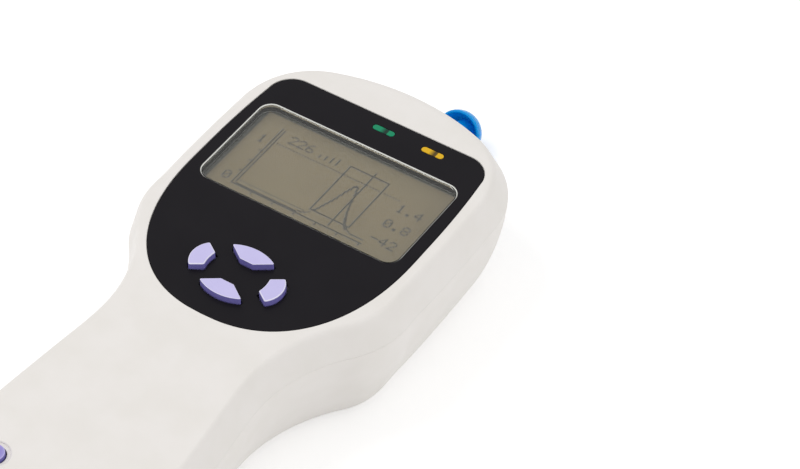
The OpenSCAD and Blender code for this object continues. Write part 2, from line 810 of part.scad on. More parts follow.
module board_screws() {
    color("silver") {
        for (p = board_screw_places) at(p, board_bottom) screw(1.8, 3.6, 5.4);
        for (p = power_screws) at(p, power_board_top - 1) screw(1.8, 3.6, 3.2);
    }
}

module chip(x, y, w, l, t, below = true) {
    translate([x - w / 2, window_y + y - l / 2, below ? board_bottom - t : board_top]) {
        translate([0.3, 0.3, 0]) cube([w - 0.6, l - 0.6, t]);
        translate([0, 0, t * 0.3]) cube([w, l, t * 0.4]);
    }
}

module board_chips() {
    color([0.12, 0.12, 0.13]) {
        chip(-14, 6, 12, 12, 1.4);
        chip(-16, -14, 8, 6, 1.6);
        chip(16, 8, 7, 9, 1.6);
        chip(22, -9, 6, 5, 1.2);
        chip(-30, 2, 4.5, 10, 3);
        chip(0, -47, 14, 4, 2.4);
    }
}

module status_leds() {
    color("ivory") for (x = [green_x, amber_x]) translate([x, window_y + lens_up, board_top]) {
        translate([-1.6, -0.8, 0]) cube([3.2, 1.6, 0.5]);
        translate([-1, -0.8, 0]) cube([2, 1.6, 0.9]);
    }
}

module beeper() {
    color([0.1, 0.1, 0.1]) translate([11, window_y - 22, board_bottom - 3.6]) difference() {
        cylinder(d = 9, h = 3.6);
        translate([0, 0, -1]) cylinder(d = 1.6, h = 1.8);
    }
}

sensor_y = window_y + 5;
sensor_spigot_z = board_bottom - 2.2;

module pressure_sensor() {
    color([0.85, 0.85, 0.82]) {
        translate([sensor_port[0] - 3.5, sensor_y - 3.5, board_bottom - 3.6]) cube([7, 7, 3.6]);
        translate([sensor_port[0], sensor_y + 3.4, sensor_spigot_z]) rotate([-90, 0, 0])
            cylinder(r = spigot_r, h = spigot_l);
    }
}

// Battery holder: two end plates and two side rails, with the cells in two layers
module holder_plate_shape() {
    low = stack_low_z - cell_d / 2;
    high = stack_high_z + cell_d / 2;
    half = cell_x + cell_d / 2 + 1.2;
    polygon([
        [-half + 6, low], [half - 6, low], [half, low + 9], [half, high - 2], [half - 2, high],
        [-half + 2, high], [-half, high - 2], [-half, low + 9]
    ]);
}

module battery_holder() {
    rail_z = stack_low_z + 1;
    rail_x = cell_x + cell_d / 2 + 0.2;
    color([0.14, 0.14, 0.15]) difference() {
        union() {
            for (y = [holder_y0, holder_y1 - holder_end_t])
                translate([0, y + holder_end_t, 0]) rotate([90, 0, 0])
                    linear_extrude(holder_end_t) holder_plate_shape();
            both_sides() translate([rail_x, holder_y0, rail_z]) cube([1, holder_l, stack_high_z - rail_z]);
            translate([-0.5, holder_y0, stack_low_z + 5]) cube([1, holder_l, cell_d - 9.7]);
        }
        for (c = cell_places) translate([c[0], holder_y0 - 1, c[1]]) rotate([-90, 0, 0])
            cylinder(d = 4, h = holder_l + 2);
        for (c = cell_places) translate([c[0], holder_y0 + holder_end_t, c[1]]) rotate([-90, 0, 0])
            cylinder(d = cell_d + 0.2, h = holder_l - 2 * holder_end_t);
    }
}

cell_places = [for (z = [stack_low_z, stack_high_z]) for (x = [-cell_x, cell_x]) [x, z]];
cell_nub = 1.2;
plate_room = 0.8;
spring_l = contact_room - plate_room - cell_nub;

// A cell with its nub at one end; odd cells face the tail
module battery_cell(index) {
    place = cell_places[index - 1];
    tail_side = index % 2 == 1 ? plate_room + cell_nub : spring_l;
    start = holder_y0 + holder_end_t + tail_side;
    translate([place[0], start, place[1]]) rotate([-90, 0, 0]) translate([0, 0, index % 2 == 1 ? 0 : cell_l])
        mirror([0, 0, index % 2 == 1 ? 0 : 1]) {
            color([0.12, 0.12, 0.13]) cylinder(d = cell_d, h = cell_l * 0.72);
            color([0.75, 0.55, 0.2]) translate([0, 0, cell_l * 0.72 - eps])
                cylinder(d = cell_d, h = cell_l * 0.28 + eps);
            color("silver") translate([0, 0, -cell_nub]) cylinder(d = 5.4, h = cell_nub + eps);
        }
}

module battery_plates() {
    color("silver") for (i = [0 : 3]) let (c = cell_places[i]) {
        y = i % 2 == 0 ? holder_y0 + holder_end_t : holder_y1 - holder_end_t - 0.5;
        translate([c[0] - 3.4, y, c[1] - 3.4]) cube([6.8, 0.5, 6.8]);
    }
}

module battery_springs() {
    color("silver") for (i = [0 : 3]) let (c = cell_places[i]) {
        odd = i % 2 == 0;
        y = odd ? holder_y1 - holder_end_t : holder_y0 + holder_end_t;
        translate([c[0], y, c[1]]) rotate([odd ? 90 : -90, 0, 0]) spring(spring_l - seat_gap);
    }
}

// A conical contact spring, drawn as its closed turns
module spring(h) {
    turns = 4;
    for (k = [0 : turns - 1])
        translate([0, 0, h * k / turns]) difference() {
            cylinder(d = 9 - 1.4 * k, h = h / turns + eps * (k < turns - 1 ? 1 : 0));
            translate([0, 0, -1]) cylinder(d = 5.4 - 1.2 * k, h = h / turns + 2);
        }
}

// Pump: bracket with motor plate and cylinder plate
pump_base_z = floor_t + 1.2;
pump_post_y = [mount_y + 6, cylinder_y0 - 7];
base_half = 6;

module pump_bracket() {
    color([0.7, 0.71, 0.73]) difference() {
        union() {
            translate([-base_half, mount_y, pump_base_z])
                cube([2 * base_half, cylinder_y0 + 3 - mount_y, plate_t]);
            for (y = [mount_y, cylinder_y0 + 3 - plate_t]) translate([0, y, 0]) {
                translate([-base_half, 0, pump_base_z]) cube([2 * base_half, plate_t, pump_z - pump_base_z]);
                translate([0, plate_t, pump_z]) rotate([90, 0, 0]) cylinder(r = 9.8, h = plate_t);
            }
            for (y = [mount_y + plate_t, cylinder_y0 + 3])
                translate([0, y, pump_z + guide_r]) rotate([90, 0, 0]) cylinder(r = 3, h = plate_t);
        }
        along_pump(mount_y - 1) cylinder(r = 3.2, h = plate_t + 2);
        along_pump(cylinder_y0) cylinder(r = cylinder_r - 1 + running_gap, h = 5);
        translate([0, mount_y - 1, pump_z + guide_r]) rotate([-90, 0, 0])
            cylinder(d = guide_d + 2 * running_gap, h = cylinder_y0 + 6 - mount_y);
        for (y = pump_post_y) translate([0, y, pump_base_z - 1]) cylinder(d = 2.4, h = plate_t + 2);
    }
}

module bracket_screws() {
    color("silver") for (y = pump_post_y) translate([0, y, pump_base_z + plate_t])
        rotate([180, 0, 0]) screw(1.9, 4, 2.2);
}

module pump_motor() {
    color([0.6, 0.6, 0.62]) difference() {
        union() {
            along_pump(motor_y) cylinder(d = motor_d, h = motor_l);
            along_pump(mount_y - eps) cylinder(r = 3, h = plate_t);
        }
        along_pump(mount_y - 6) cylinder(r = 1.2 + running_gap, h = 10);
    }
    color([0.15, 0.15, 0.16]) along_pump(motor_y - 1) cylinder(d = motor_d - 3, h = 1 + eps);
}

module pump_coupling() {
    color("goldenrod") difference() {
        union() {
            along_pump(coupling_y) cylinder(d = 8, h = coupling_l);
            along_pump(mount_y - 5) cylinder(r = 1.2, h = coupling_y - mount_y + 5 + eps);
        }
        along_pump(screw_y - 0.1) cylinder(d = lead_screw_d, h = coupling_l);
        translate([0, coupling_y + coupling_l - 1.8, pump_z]) cylinder(d = 1.6, h = 6);
    }
}

module pump_screw() {
    color("silver") {
        along_pump(screw_y) cylinder(d = lead_screw_d, h = screw_end_y - screw_y - 0.6);
        along_pump(screw_end_y - 0.6 - eps) cylinder(d1 = lead_screw_d, d2 = lead_screw_d - 1, h = 0.6 + eps);
    }
}

module pump_guide() {
    color("silver") translate([0, mount_y, pump_z + guide_r]) rotate([-90, 0, 0])
        cylinder(d = guide_d, h = cylinder_y0 + 3 - mount_y);
}

module pump_cylinder() {
    color([0.82, 0.84, 0.86]) difference() {
        union() {
            along_pump(cylinder_y0 + 3 + eps) cylinder(r = cylinder_r, h = cylinder_y1 - cylinder_y0 - 3);
            along_pump(cylinder_y0) cylinder(r = cylinder_r - 1, h = 4);
            along_pump(cylinder_y0 + 3 + eps) cylinder(r = cylinder_r + 1.2, h = 1.6);
            along_pump(cylinder_y1 - eps) cylinder(r = spigot_r, h = spigot_l);
        }
        along_pump(cylinder_y0 - 1) cylinder(d = pump_bore, h = cylinder_y1 - cylinder_y0 - 1);
        along_pump(cylinder_y1 - 3) cylinder(r = 0.5, h = spigot_l + 4);
    }
}

piston_r = pump_bore / 2 - 0.1;
groove_y = piston_y - piston_head / 2;

module pump_piston() {
    sleeve_y = piston_y - piston_head - sleeve_l;
    color([0.9, 0.9, 0.88]) difference() {
        union() {
            along_pump(piston_y - piston_head) cylinder(r = piston_r, h = piston_head);
            along_pump(sleeve_y) cylinder(r = 4, h = sleeve_l + eps);
            hull() {
                along_pump(sleeve_y) cylinder(r = 4, h = lug_t, $fn = 32);
                translate([0, 0, guide_r]) along_pump(sleeve_y) cylinder(r = 2.8, h = lug_t, $fn = 32);
            }
        }
        along_pump(groove_y - 1) difference() {
            cylinder(r = piston_r + 1, h = 2);
            translate([0, 0, -1]) cylinder(r = piston_r - 1.3, h = 4);
        }
        along_pump(sleeve_y - 1) cylinder(d = lead_screw_d + 2 * running_gap, h = sleeve_l + piston_head - 1);
        translate([0, 0, guide_r]) along_pump(sleeve_y - 1)
            cylinder(d = guide_d + 2 * running_gap, h = lug_t + 2);
    }
}

module piston_seal() {
    color([0.12, 0.12, 0.13]) along_pump(groove_y)
        rotate_extrude() translate([piston_r - 0.62, 0]) circle(r = 0.66);
}

// A hose round a curve in one plane across X, with its own bore
hose_r = 1.5;
hose_bore_r = spigot_r + 0.2;

function bezier(p, t) = let (u = 1 - t)
    u * u * u * p[0] + 3 * t * u * u * p[1] + 3 * t * t * u * p[2] + t * t * t * p[3];

module hose(x, curve) {
    sides = 10;
    steps = 14;
    path = [for (k = [0 : steps]) bezier(curve, k / steps)];
    function along(k) = let (
        d = bezier(curve, min(1, k / steps + 0.01)) - bezier(curve, max(0, k / steps - 0.01))
    ) d / norm(d);
    function circle_at(k, r) = [for (i = [0 : sides - 1]) let (a = 360 * i / sides, d = along(k))
        [x + r * cos(a), path[k][0] - r * sin(a) * d[1], path[k][1] + r * sin(a) * d[0]]];
    rings = concat(
        [for (k = [0 : steps]) circle_at(k, hose_r)],
        [for (k = [steps : -1 : 0]) circle_at(k, hose_bore_r)]
    );
    m = len(rings);
    polyhedron(
        points = [for (r = rings) each r],
        faces = [for (k = [0 : m - 1]) for (i = [0 : sides - 1])
            let (k2 = (k + 1) % m, j = (i + 1) % sides)
            each [
                [k * sides + i, k2 * sides + i, k2 * sides + j],
                [k * sides + i, k2 * sides + j, k * sides + j]
            ]],
        convexity = 6
    );
}

module pump_tube() {
    start = [cylinder_y1 + 0.4, pump_z];
    finish = probe_point(core_back - 0.4, pump_port[1]);
    back = probe_point(core_back - 9, pump_port[1]);
    color([0.85, 0.86, 0.88]) hose(0, [start, start + [14, 0], back, finish]);
}

module sensor_tube() {
    start = [sensor_y + 3.9, sensor_spigot_z];
    finish = probe_point(core_back - 0.4, sensor_port[1]);
    back = probe_point(core_back - 5, sensor_port[1]);
    color([0.85, 0.86, 0.88]) hose(sensor_port[0], [start, start + [4, 0], back, finish]);
}

// Probe
module probe_core() {
    color([0.35, 0.36, 0.38]) on_probe() difference() {
        union() {
            translate([0, 0, core_back]) cylinder(r = core_r, h = 6 - core_back);
            translate([0, 0, collar_in - core_flange_t - seat_gap])
                cylinder(r = core_flange_r, h = core_flange_t);
            translate([0, 0, 6 - eps]) cylinder(r = 4, h = core_front - 6 + eps);
            for (p = [pump_port, sensor_port])
                translate([p[0], p[1], core_back - core_spigot_l])
                    cylinder(r = spigot_r, h = core_spigot_l + eps);
        }
        for (p = [pump_port, sensor_port]) translate([p[0], p[1], core_back - 4]) cylinder(r = 0.5, h = 14);
        translate([0, 0, 2]) cylinder(r = 0.8, h = 6);
        translate([receiver_at[0], receiver_at[1], core_back - 1]) linear_extrude(receiver_size[2] + 1)
            square([receiver_size[0] + 2 * seat_gap, receiver_size[1] + 2 * seat_gap], center = true);
        translate([microphone_at[0], microphone_at[1], core_back - 1])
            cylinder(r = microphone_r + seat_gap, h = 3.6);
        translate([0, 0, seal_s]) rotate_extrude() translate([core_r + 0.1, 0]) circle(r = 0.75);
    }
}

seal_s = 4.6;

module receiver() {
    color("silver") on_probe()
        translate([receiver_at[0], receiver_at[1], core_back - 0.6]) linear_extrude(receiver_size[2])
            square([receiver_size[0], receiver_size[1]], center = true);
}

module microphone() {
    color("gold") on_probe()
        translate([microphone_at[0], microphone_at[1], core_back - 0.4]) cylinder(r = microphone_r, h = 2.8);
}

module probe_nut() {
    color("silver") on_probe() translate([0, 0, collar_out + seat_gap]) difference() {
        cylinder(r = 8.2, h = 1.8);
        translate([0, 0, -1]) cylinder(r = core_r + running_gap, h = 4);
        for (a = [0, 180]) rotate(a) translate([-1, 7.2, -1]) cube([2, 3, 4]);
    }
}

module probe_seal() {
    color([0.12, 0.12, 0.13]) on_probe() translate([0, 0, seal_s])
        rotate_extrude() translate([core_r + 0.1, 0]) circle(r = 0.66);
}

cone_back = collar_out + free_gap;
cone_front = rim_s - 6.5;
tip_flange_t = 1.5;
tip_seat = core_front + seat_gap;
flutes = 16;
flute_r = 1.1;
flute_at = 10.9;

module nose_cone() {
    tip_r = tip_d / 2;
    color([0.9, 0.9, 0.89]) on_probe() difference() {
        rotate_extrude() polygon([
            [8.6, cone_back], [10.2, cone_back], [10.4, cone_back + 0.3], [10.2, cone_back + 1.8],
            [9.2, cone_back + 5], [7.7, cone_back + 8.5], [6.2, cone_back + 12], [5.1, cone_front - 0.6],
            [4.7, cone_front],
            [tip_r + 0.2, cone_front], [tip_r + 0.2, tip_seat + tip_flange_t + 0.1],
            [4.2, tip_seat + tip_flange_t + 0.1], [4.2, 6.3], [core_r + running_gap, 6.3],
            [core_r + running_gap, seal_s + 1], [core_r + 0.85, seal_s + 0.8],
            [core_r + 0.85, cone_back + 2.1], [8.6, cone_back + 1.9]
        ]);
        for (i = [0 : flutes - 1]) rotate(360 * i / flutes)
            translate([flute_at, 0, cone_back - 1]) cylinder(r = flute_r, h = 5.5);
    }
}

module probe_tip() {
    color([0.88, 0.9, 0.9]) on_probe() difference() {
        union() {
            translate([0, 0, tip_seat]) cylinder(r = 3.9, h = tip_flange_t);
            translate([0, 0, tip_seat]) cylinder(d = tip_d, h = tip_end - tip_seat);
        }
        translate([0, 0, tip_seat - 1]) cylinder(r = 0.8, h = tip_end);
    }
}

// Ear tip: a thin mushroom round a tube that slips over the probe tip
ear_r = ear_tip_d / 2;
mouth_r = 1.7;
tip_end = rim_s + ear_r - 1.9;
ear_back = cone_front + 0.5;

module ear_tip() {
    bore = tip_d / 2 + 0.03;
    tube = tip_d / 2 + 0.75;
    skirt = 0.75;
    front = rim_s + sqrt(ear_r * ear_r - mouth_r * mouth_r);
    inside = ear_r - skirt;
    meet = asin(tube / inside);
    color([0, 0.45, 0.85]) on_probe() rotate_extrude() polygon(concat(
        [[bore, ear_back], [tube - 0.2, ear_back], [tube, ear_back + 0.3]],
        [for (a = [meet : (78 - meet) / 6 : 78.1]) [inside * sin(a), rim_s - 1.2 + inside * cos(a)]],
        [[ear_r - 0.5, rim_s - 0.35], [ear_r - 0.15, rim_s - 0.3]],
        [for (a = [90 : -7.5 : 20]) [ear_r * sin(a), rim_s + ear_r * cos(a)]],
        [[mouth_r, front], [mouth_r, tip_end + 0.3], [bore, tip_end + 0.3]]
    ));
}

front_shell();
rear_shell();
battery_cover();
housing_screws();
infrared_window();
infrared_emitter();
front_panel();
display_window();
green_lens();
amber_lens();
lcd_glass();
lcd_frame();
backlight();
up_key();
down_key();
left_key();
right_key();
power_key();
key_mat();
key_switches();
main_board();
board_chips();
status_leds();
board_screws();
beeper();
pressure_sensor();
power_board();
battery_holder();
battery_cell(1);  // battery_cell_1
battery_cell(2);  // battery_cell_2
battery_cell(3);  // battery_cell_3
battery_cell(4);  // battery_cell_4
battery_springs();
battery_plates();
pump_bracket();
bracket_screws();
pump_motor();
pump_coupling();
pump_screw();
pump_guide();
pump_cylinder();
pump_piston();
piston_seal();
pump_tube();
sensor_tube();
probe_core();
probe_nut();
receiver();
microphone();
probe_seal();
nose_cone();
probe_tip();
ear_tip();
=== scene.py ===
import math

import bmesh
import bpy
from mathutils import Matrix, Vector


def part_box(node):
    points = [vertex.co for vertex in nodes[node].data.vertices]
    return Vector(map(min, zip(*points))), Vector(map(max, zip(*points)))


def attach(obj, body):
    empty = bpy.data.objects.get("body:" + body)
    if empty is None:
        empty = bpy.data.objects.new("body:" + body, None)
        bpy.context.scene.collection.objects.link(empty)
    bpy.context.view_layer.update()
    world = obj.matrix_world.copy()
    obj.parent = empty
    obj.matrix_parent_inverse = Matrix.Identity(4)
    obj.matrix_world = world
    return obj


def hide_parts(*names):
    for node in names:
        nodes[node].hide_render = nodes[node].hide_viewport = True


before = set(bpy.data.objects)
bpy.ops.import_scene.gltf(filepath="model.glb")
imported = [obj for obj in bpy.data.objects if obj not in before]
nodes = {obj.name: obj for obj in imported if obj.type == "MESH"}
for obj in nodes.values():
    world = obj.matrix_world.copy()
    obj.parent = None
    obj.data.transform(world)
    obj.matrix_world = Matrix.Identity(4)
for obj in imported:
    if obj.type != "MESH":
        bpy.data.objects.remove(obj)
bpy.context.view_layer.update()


# Rear hull: the deep tapered half of the housing, moulded in warm white plastic with a fine satin
# texture. It carries the screw towers, the cross wall of the battery bay and the probe's collar,
# and six screws from below pull it against the front shell.
MM = 0.001
TAIL_Y, WAIST_Y, WINDOW_Y, CROWN_Y = -107.5, -27.1, 38.9, 82.5
WIDEST_Y = WINDOW_Y - 4
PARTING_Z, FACE_Z = 30.5, 40.0
HEAD, WAIST, TAIL = 40.2, 24.7, 32.0
CROWN_R, CORNER_R, SIDE_R, SHOULDER_R, WAIST_R = 68.0, 24.5, 500.0, 24.0, 40.0
TAIL_CORNER_R, TAIL_R, FLARE_L = 17.5, 80.0, 97.0
CORNER_IN, SHOULDER_IN, TAIL_IN = 0.4, 0.22, 0.45
HULL_TUCK, BOW = 11.0, 1.52
WALL, FLOOR_T = 2.2, 2.2
WALL_RUN = WALL * 1.05
ROLLS = [(TAIL_Y, 3.6), (WAIST_Y, 3.6), (WINDOW_Y - 25, 4.0), (WINDOW_Y + 15, 4.0), (CROWN_Y, 6.7)]


def turned(centre, r, degrees):
    """Points on an arc about a centre, at angles from the X axis."""
    return [Vector((centre[0] + r * math.cos(math.radians(a)), centre[1] + r * math.sin(math.radians(a))))
            for a in degrees]


def even(start, end, n):
    return [start + (end - start) * k / (n - 1) for k in range(n)]


def middles(n):
    return [(k + 0.5) / n for k in range(n)]


def smooth_loop(points, parts):
    """A fine closed curve through the points, with slopes weighed by the gaps on either side."""
    n = len(points)
    gap = [(points[(i + 1) % n] - points[i]).length for i in range(n)]
    slope = [((points[i] - points[i - 1]) * (gap[i] / gap[i - 1])
              + (points[(i + 1) % n] - points[i]) * (gap[i - 1] / gap[i])) / (gap[i] + gap[i - 1])
             for i in range(n)]
    fine = []
    for i in range(n):
        j = (i + 1) % n
        for t in [k / parts for k in range(parts)]:
            fine.append(points[i] * (2 * t ** 3 - 3 * t ** 2 + 1)
                        + slope[i] * (gap[i] * (t ** 3 - 2 * t ** 2 + t))
                        + points[j] * (3 * t ** 2 - 2 * t ** 3)
                        + slope[j] * (gap[i] * (t ** 3 - t ** 2)))
    return fine


corner_x = HEAD - CORNER_IN - CORNER_R
corner_c = (corner_x, CROWN_Y - CROWN_R + math.sqrt((CROWN_R - CORNER_R) ** 2 - corner_x ** 2))
waist_c = (WAIST + WAIST_R, WAIST_Y)
shoulder_x = HEAD - SHOULDER_IN - SHOULDER_R
shoulder_y = WAIST_Y + math.sqrt((SHOULDER_R + WAIST_R) ** 2 - (waist_c[0] - shoulder_x) ** 2)
shoulder_c = (shoulder_x, shoulder_y)
tail_x = TAIL - TAIL_IN - TAIL_CORNER_R
tail_c = (tail_x, TAIL_Y + TAIL_R - math.sqrt((TAIL_R - TAIL_CORNER_R) ** 2 - tail_x ** 2))
crown_turn = math.degrees(math.asin(corner_x / (CROWN_R - CORNER_R)))
shoulder_turn = math.degrees(math.asin((shoulder_y - WAIST_Y) / (SHOULDER_R + WAIST_R)))
tail_turn = math.degrees(math.asin(tail_x / (TAIL_R - TAIL_CORNER_R)))
flare_lag = WAIST_R * (TAIL - WAIST) * math.pi / (4 * FLARE_L)


def handle_half(y):
    """Half the width of the handle, which flares as a sine from the waist to the tail."""
    return WAIST + (TAIL - WAIST) * math.sin(math.pi / 2 * min(1, (WAIST_Y - y - flare_lag) / FLARE_L))


# One half of the outline, from the middle of the crown round to the middle of the tail.
half = [Vector((CROWN_R * math.sin(a), CROWN_Y - CROWN_R * (1 - math.cos(a))))
        for a in [math.radians(crown_turn * k / 4.5) for k in range(5)]]
half += turned(corner_c, CORNER_R, [(90 - crown_turn) * (1 - f) for f in middles(8)])
half += [Vector((HEAD - (y - WIDEST_Y) ** 2 / (2 * SIDE_R), y))
         for y in even(corner_c[1] - 3, shoulder_y + 3, 5)]
half += turned(shoulder_c, SHOULDER_R, [-shoulder_turn * f for f in middles(6)])
half += turned(waist_c, WAIST_R, [180 - shoulder_turn * (1 - f) for f in middles(6)])
half += [Vector((handle_half(y), y)) for y in even(WAIST_Y - 5, tail_c[1] + 3, 8)]
half += turned(tail_c, TAIL_CORNER_R, [(tail_turn - 90) * f for f in middles(7)])
half += [Vector((TAIL_R * math.sin(a), TAIL_Y + TAIL_R * (1 - math.cos(a))))
         for a in [math.radians(tail_turn * k / 2.5) for k in (2, 1, 0)]]
outline = smooth_loop(half + [Vector((-p.x, p.y)) for p in half[-2:0:-1]], 4)
inward = []
for before, after in zip(outline[-1:] + outline[:-1], outline[1:] + outline[:1]):
    way = (after - before).normalized()
    inward.append(Vector((way.y, -way.x)))


def roll_at(y):
    """The width of the front edge's roll-off at a place along the body."""
    for (y0, r0), (y1, r1) in zip(ROLLS, ROLLS[1:]):
        if y <= y1:
            return r0 + (r1 - r0) * max(0, y - y0) / (y1 - y0)
    return ROLLS[-1][1]


def ring(z, inset, share=0.0):
    """One level of the housing, drawn in evenly and by a share of the front edge's roll-off."""
    drawn = [p + n * (inset + share * roll_at(p.y)) for p, n in zip(outline, inward)]
    return [(p.x, p.y, z) for p in drawn]


def hull_inset(z):
    """How far the hull's bowed side has tucked in at a height."""
    depth = min(1, max(0, 1 - z / PARTING_Z))
    return HULL_TUCK * (1 - (1 - depth ** BOW) ** (1 / BOW))


def hull_inner(z):
    return WALL_RUN + hull_inset(z)


def piece_of(name, mesh):
    """A mesh object from a bmesh in millimetres."""
    bmesh.ops.recalc_face_normals(mesh, faces=mesh.faces)
    bmesh.ops.scale(mesh, vec=(MM, MM, MM), verts=mesh.verts)
    data = bpy.data.meshes.new(name)
    mesh.to_mesh(data)
    mesh.free()
    made = bpy.data.objects.new(name, data)
    bpy.context.scene.collection.objects.link(made)
    return made


def loft(name, rings):
    """A closed solid through level rings of the same count."""
    mesh = bmesh.new()
    rows = [[mesh.verts.new(p) for p in points] for points in rings]
    for a, b in zip(rows, rows[1:]):
        for i in range(len(a)):
            mesh.faces.new((a[i - 1], a[i], b[i], b[i - 1]))
    mesh.faces.new(rows[0])
    mesh.faces.new(rows[-1][::-1])
    return piece_of(name, mesh)


def prism(name, points, z0, z1):
    return loft(name, [[(p[0], p[1], z) for p in points] for z in (z0, z1)])


def box(name, x0, y0, z0, x1, y1, z1):
    return prism(name, [(x0, y0), (x1, y0), (x1, y1), (x0, y1)], z0, z1)


def turning(name, profile, place=None, steps=64):
    """A turned solid from (radius, height) pairs; a pair at radius 0 closes it on its axis."""
    mesh = bmesh.new()
    rows = []
    for r, z in profile:
        if r == 0:
            rows.append([mesh.verts.new((0, 0, z))] * steps)
        else:
            rows.append([mesh.verts.new((r * math.cos(2 * math.pi * i / steps),
                                         r * math.sin(2 * math.pi * i / steps), z)) for i in range(steps)])
    closed = profile[0][0] != 0 and profile[-1][0] != 0
    for a, b in zip(rows, rows[1:] + rows[:1] if closed else rows[1:]):
        for i in range(steps):
            corners = []
            for v in (a[i - 1], a[i], b[i], b[i - 1]):
                if v not in corners:
                    corners.append(v)
            mesh.faces.new(corners)
    if place is not None:
        bmesh.ops.transform(mesh, matrix=place, verts=mesh.verts)
    return piece_of(name, mesh)


def at(x, y, z=0.0):
    return Matrix.Translation((x, y, z))


def rod(name, r, z0, z1, place=None, steps=64):
    return turning(name, [(0, z0), (r, z0), (r, z1), (0, z1)], place, steps)


def combine(piece, how, *tools):
    """Fuses tools to a piece, cuts them from it or keeps what they share, one after the other."""
    for tool in tools:
        step = piece.modifiers.new("shape", "BOOLEAN")
        step.operation, step.object, step.solver = how, tool, "MANIFOLD"
        shaped = bpy.data.meshes.new_from_object(piece.evaluated_get(bpy.context.evaluated_depsgraph_get()))
        piece.modifiers.clear()
        piece.data = shaped
        bpy.data.objects.remove(tool)
    return piece


def fuse(piece, *tools):
    return combine(piece, "UNION", *tools)


def cut(piece, *tools):
    return combine(piece, "DIFFERENCE", *tools)


def keep(piece, tool):
    return combine(piece, "INTERSECT", tool)


def smooth(piece, degrees=32):
    """Rounds the shading up to an angle, and lets the large faces rule it."""
    piece.data.polygons.foreach_set("use_smooth", [True] * len(piece.data.polygons))
    piece.data.set_sharp_from_angle(angle=math.radians(degrees))
    weighted = piece.modifiers.new("normals", "WEIGHTED_NORMAL")
    weighted.keep_sharp = True
    return piece


def shader_group(name, inputs, outputs):
    """An empty shader node group with its sockets, and its input and output nodes."""
    group = bpy.data.node_groups.new(name, "ShaderNodeTree")
    for label, kind, value in inputs:
        socket = group.interface.new_socket(label, in_out="INPUT", socket_type=kind)
        socket.default_value = value
    for label, kind in outputs:
        group.interface.new_socket(label, in_out="OUTPUT", socket_type=kind)
    return group, group.nodes.new("NodeGroupInput"), group.nodes.new("NodeGroupOutput")


def add_node(tree, kind, sockets=None, **values):
    """A shader node with its own values, and with its sockets linked to others' outputs or set."""
    made = tree.nodes.new(kind)
    for key, value in values.items():
        setattr(made, key, value)
    for label, value in (sockets or {}).items():
        if isinstance(value, bpy.types.NodeSocket):
            tree.links.new(value, made.inputs[label])
        else:
            made.inputs[label].default_value = value
    return made


def maths(tree, how, *terms, **values):
    """The result of a maths node on numbers or sockets."""
    return add_node(tree, "ShaderNodeMath", dict(enumerate(terms)), operation=how, **values).outputs[0]


def rising(tree, value, start, end):
    """A mask that is nought at the start, one at the end and even between them."""
    limits = {"Value": value, "From Min": start, "From Max": end}
    return add_node(tree, "ShaderNodeMapRange", limits).outputs[0]


PER_METRE = 1000.0
grain_group, given, put = shader_group(
    "Moulded grain", [("Size", "NodeSocketFloat", 0.3), ("Stretch", "NodeSocketVector", (1, 1, 1))],
    [("Height", "NodeSocketFloat"), ("Mottle", "NodeSocketFloat")])
place = add_node(grain_group, "ShaderNodeTexCoord")
stretched = add_node(grain_group, "ShaderNodeVectorMath",
                     {0: place.outputs["Object"], 1: given.outputs["Stretch"]}, operation="MULTIPLY")
fine_scale = maths(grain_group, "DIVIDE", PER_METRE, given.outputs["Size"])
coarse_scale = maths(grain_group, "DIVIDE", fine_scale, 28.0)
for detail, scale, label in ((3.0, fine_scale, "Height"), (2.0, coarse_scale, "Mottle")):
    noise = add_node(grain_group, "ShaderNodeTexNoise",
                     {"Detail": detail, "Vector": stretched.outputs[0], "Scale": scale})
    grain_group.links.new(noise.outputs["Fac"], put.inputs[label])

wear_group, given, put = shader_group(
    "Edge wear", [("Reach", "NodeSocketFloat", 0.06), ("Patch size", "NodeSocketFloat", 3.0)],
    [("Mask", "NodeSocketFloat")])
shape = add_node(wear_group, "ShaderNodeNewGeometry")
above = maths(wear_group, "SUBTRACT", shape.outputs["Pointiness"], 0.5)
share = maths(wear_group, "DIVIDE", above, given.outputs["Reach"], use_clamp=True)
place = add_node(wear_group, "ShaderNodeTexCoord")
patch_scale = maths(wear_group, "DIVIDE", PER_METRE, given.outputs["Patch size"])
patches = add_node(wear_group, "ShaderNodeTexNoise",
                   {"Detail": 4.0, "Vector": place.outputs["Object"], "Scale": patch_scale})
wear_group.links.new(maths(wear_group, "MULTIPLY", share, patches.outputs["Fac"]), put.inputs["Mask"])


def colour_of(r, g, b):
    """A colour as a screen shows it, turned into the shader's linear values."""
    return [((c / 255 + 0.055) / 1.055) ** 2.4 if c > 10 else c / 255 / 12.92 for c in (r, g, b)] + [1.0]


def paint_over(material, mask, colour):
    """Lays one more colour over a material's own where the mask is one."""
    tree = material.node_tree
    base = tree.nodes["Principled BSDF"].inputs["Base Color"]
    coat = {"A": base.links[0].from_socket, "B": colour_of(*colour), "Factor": mask}
    painted = add_node(tree, "ShaderNodeMix", coat, data_type="RGBA")
    tree.links.new(painted.outputs["Result"], base)
    return material


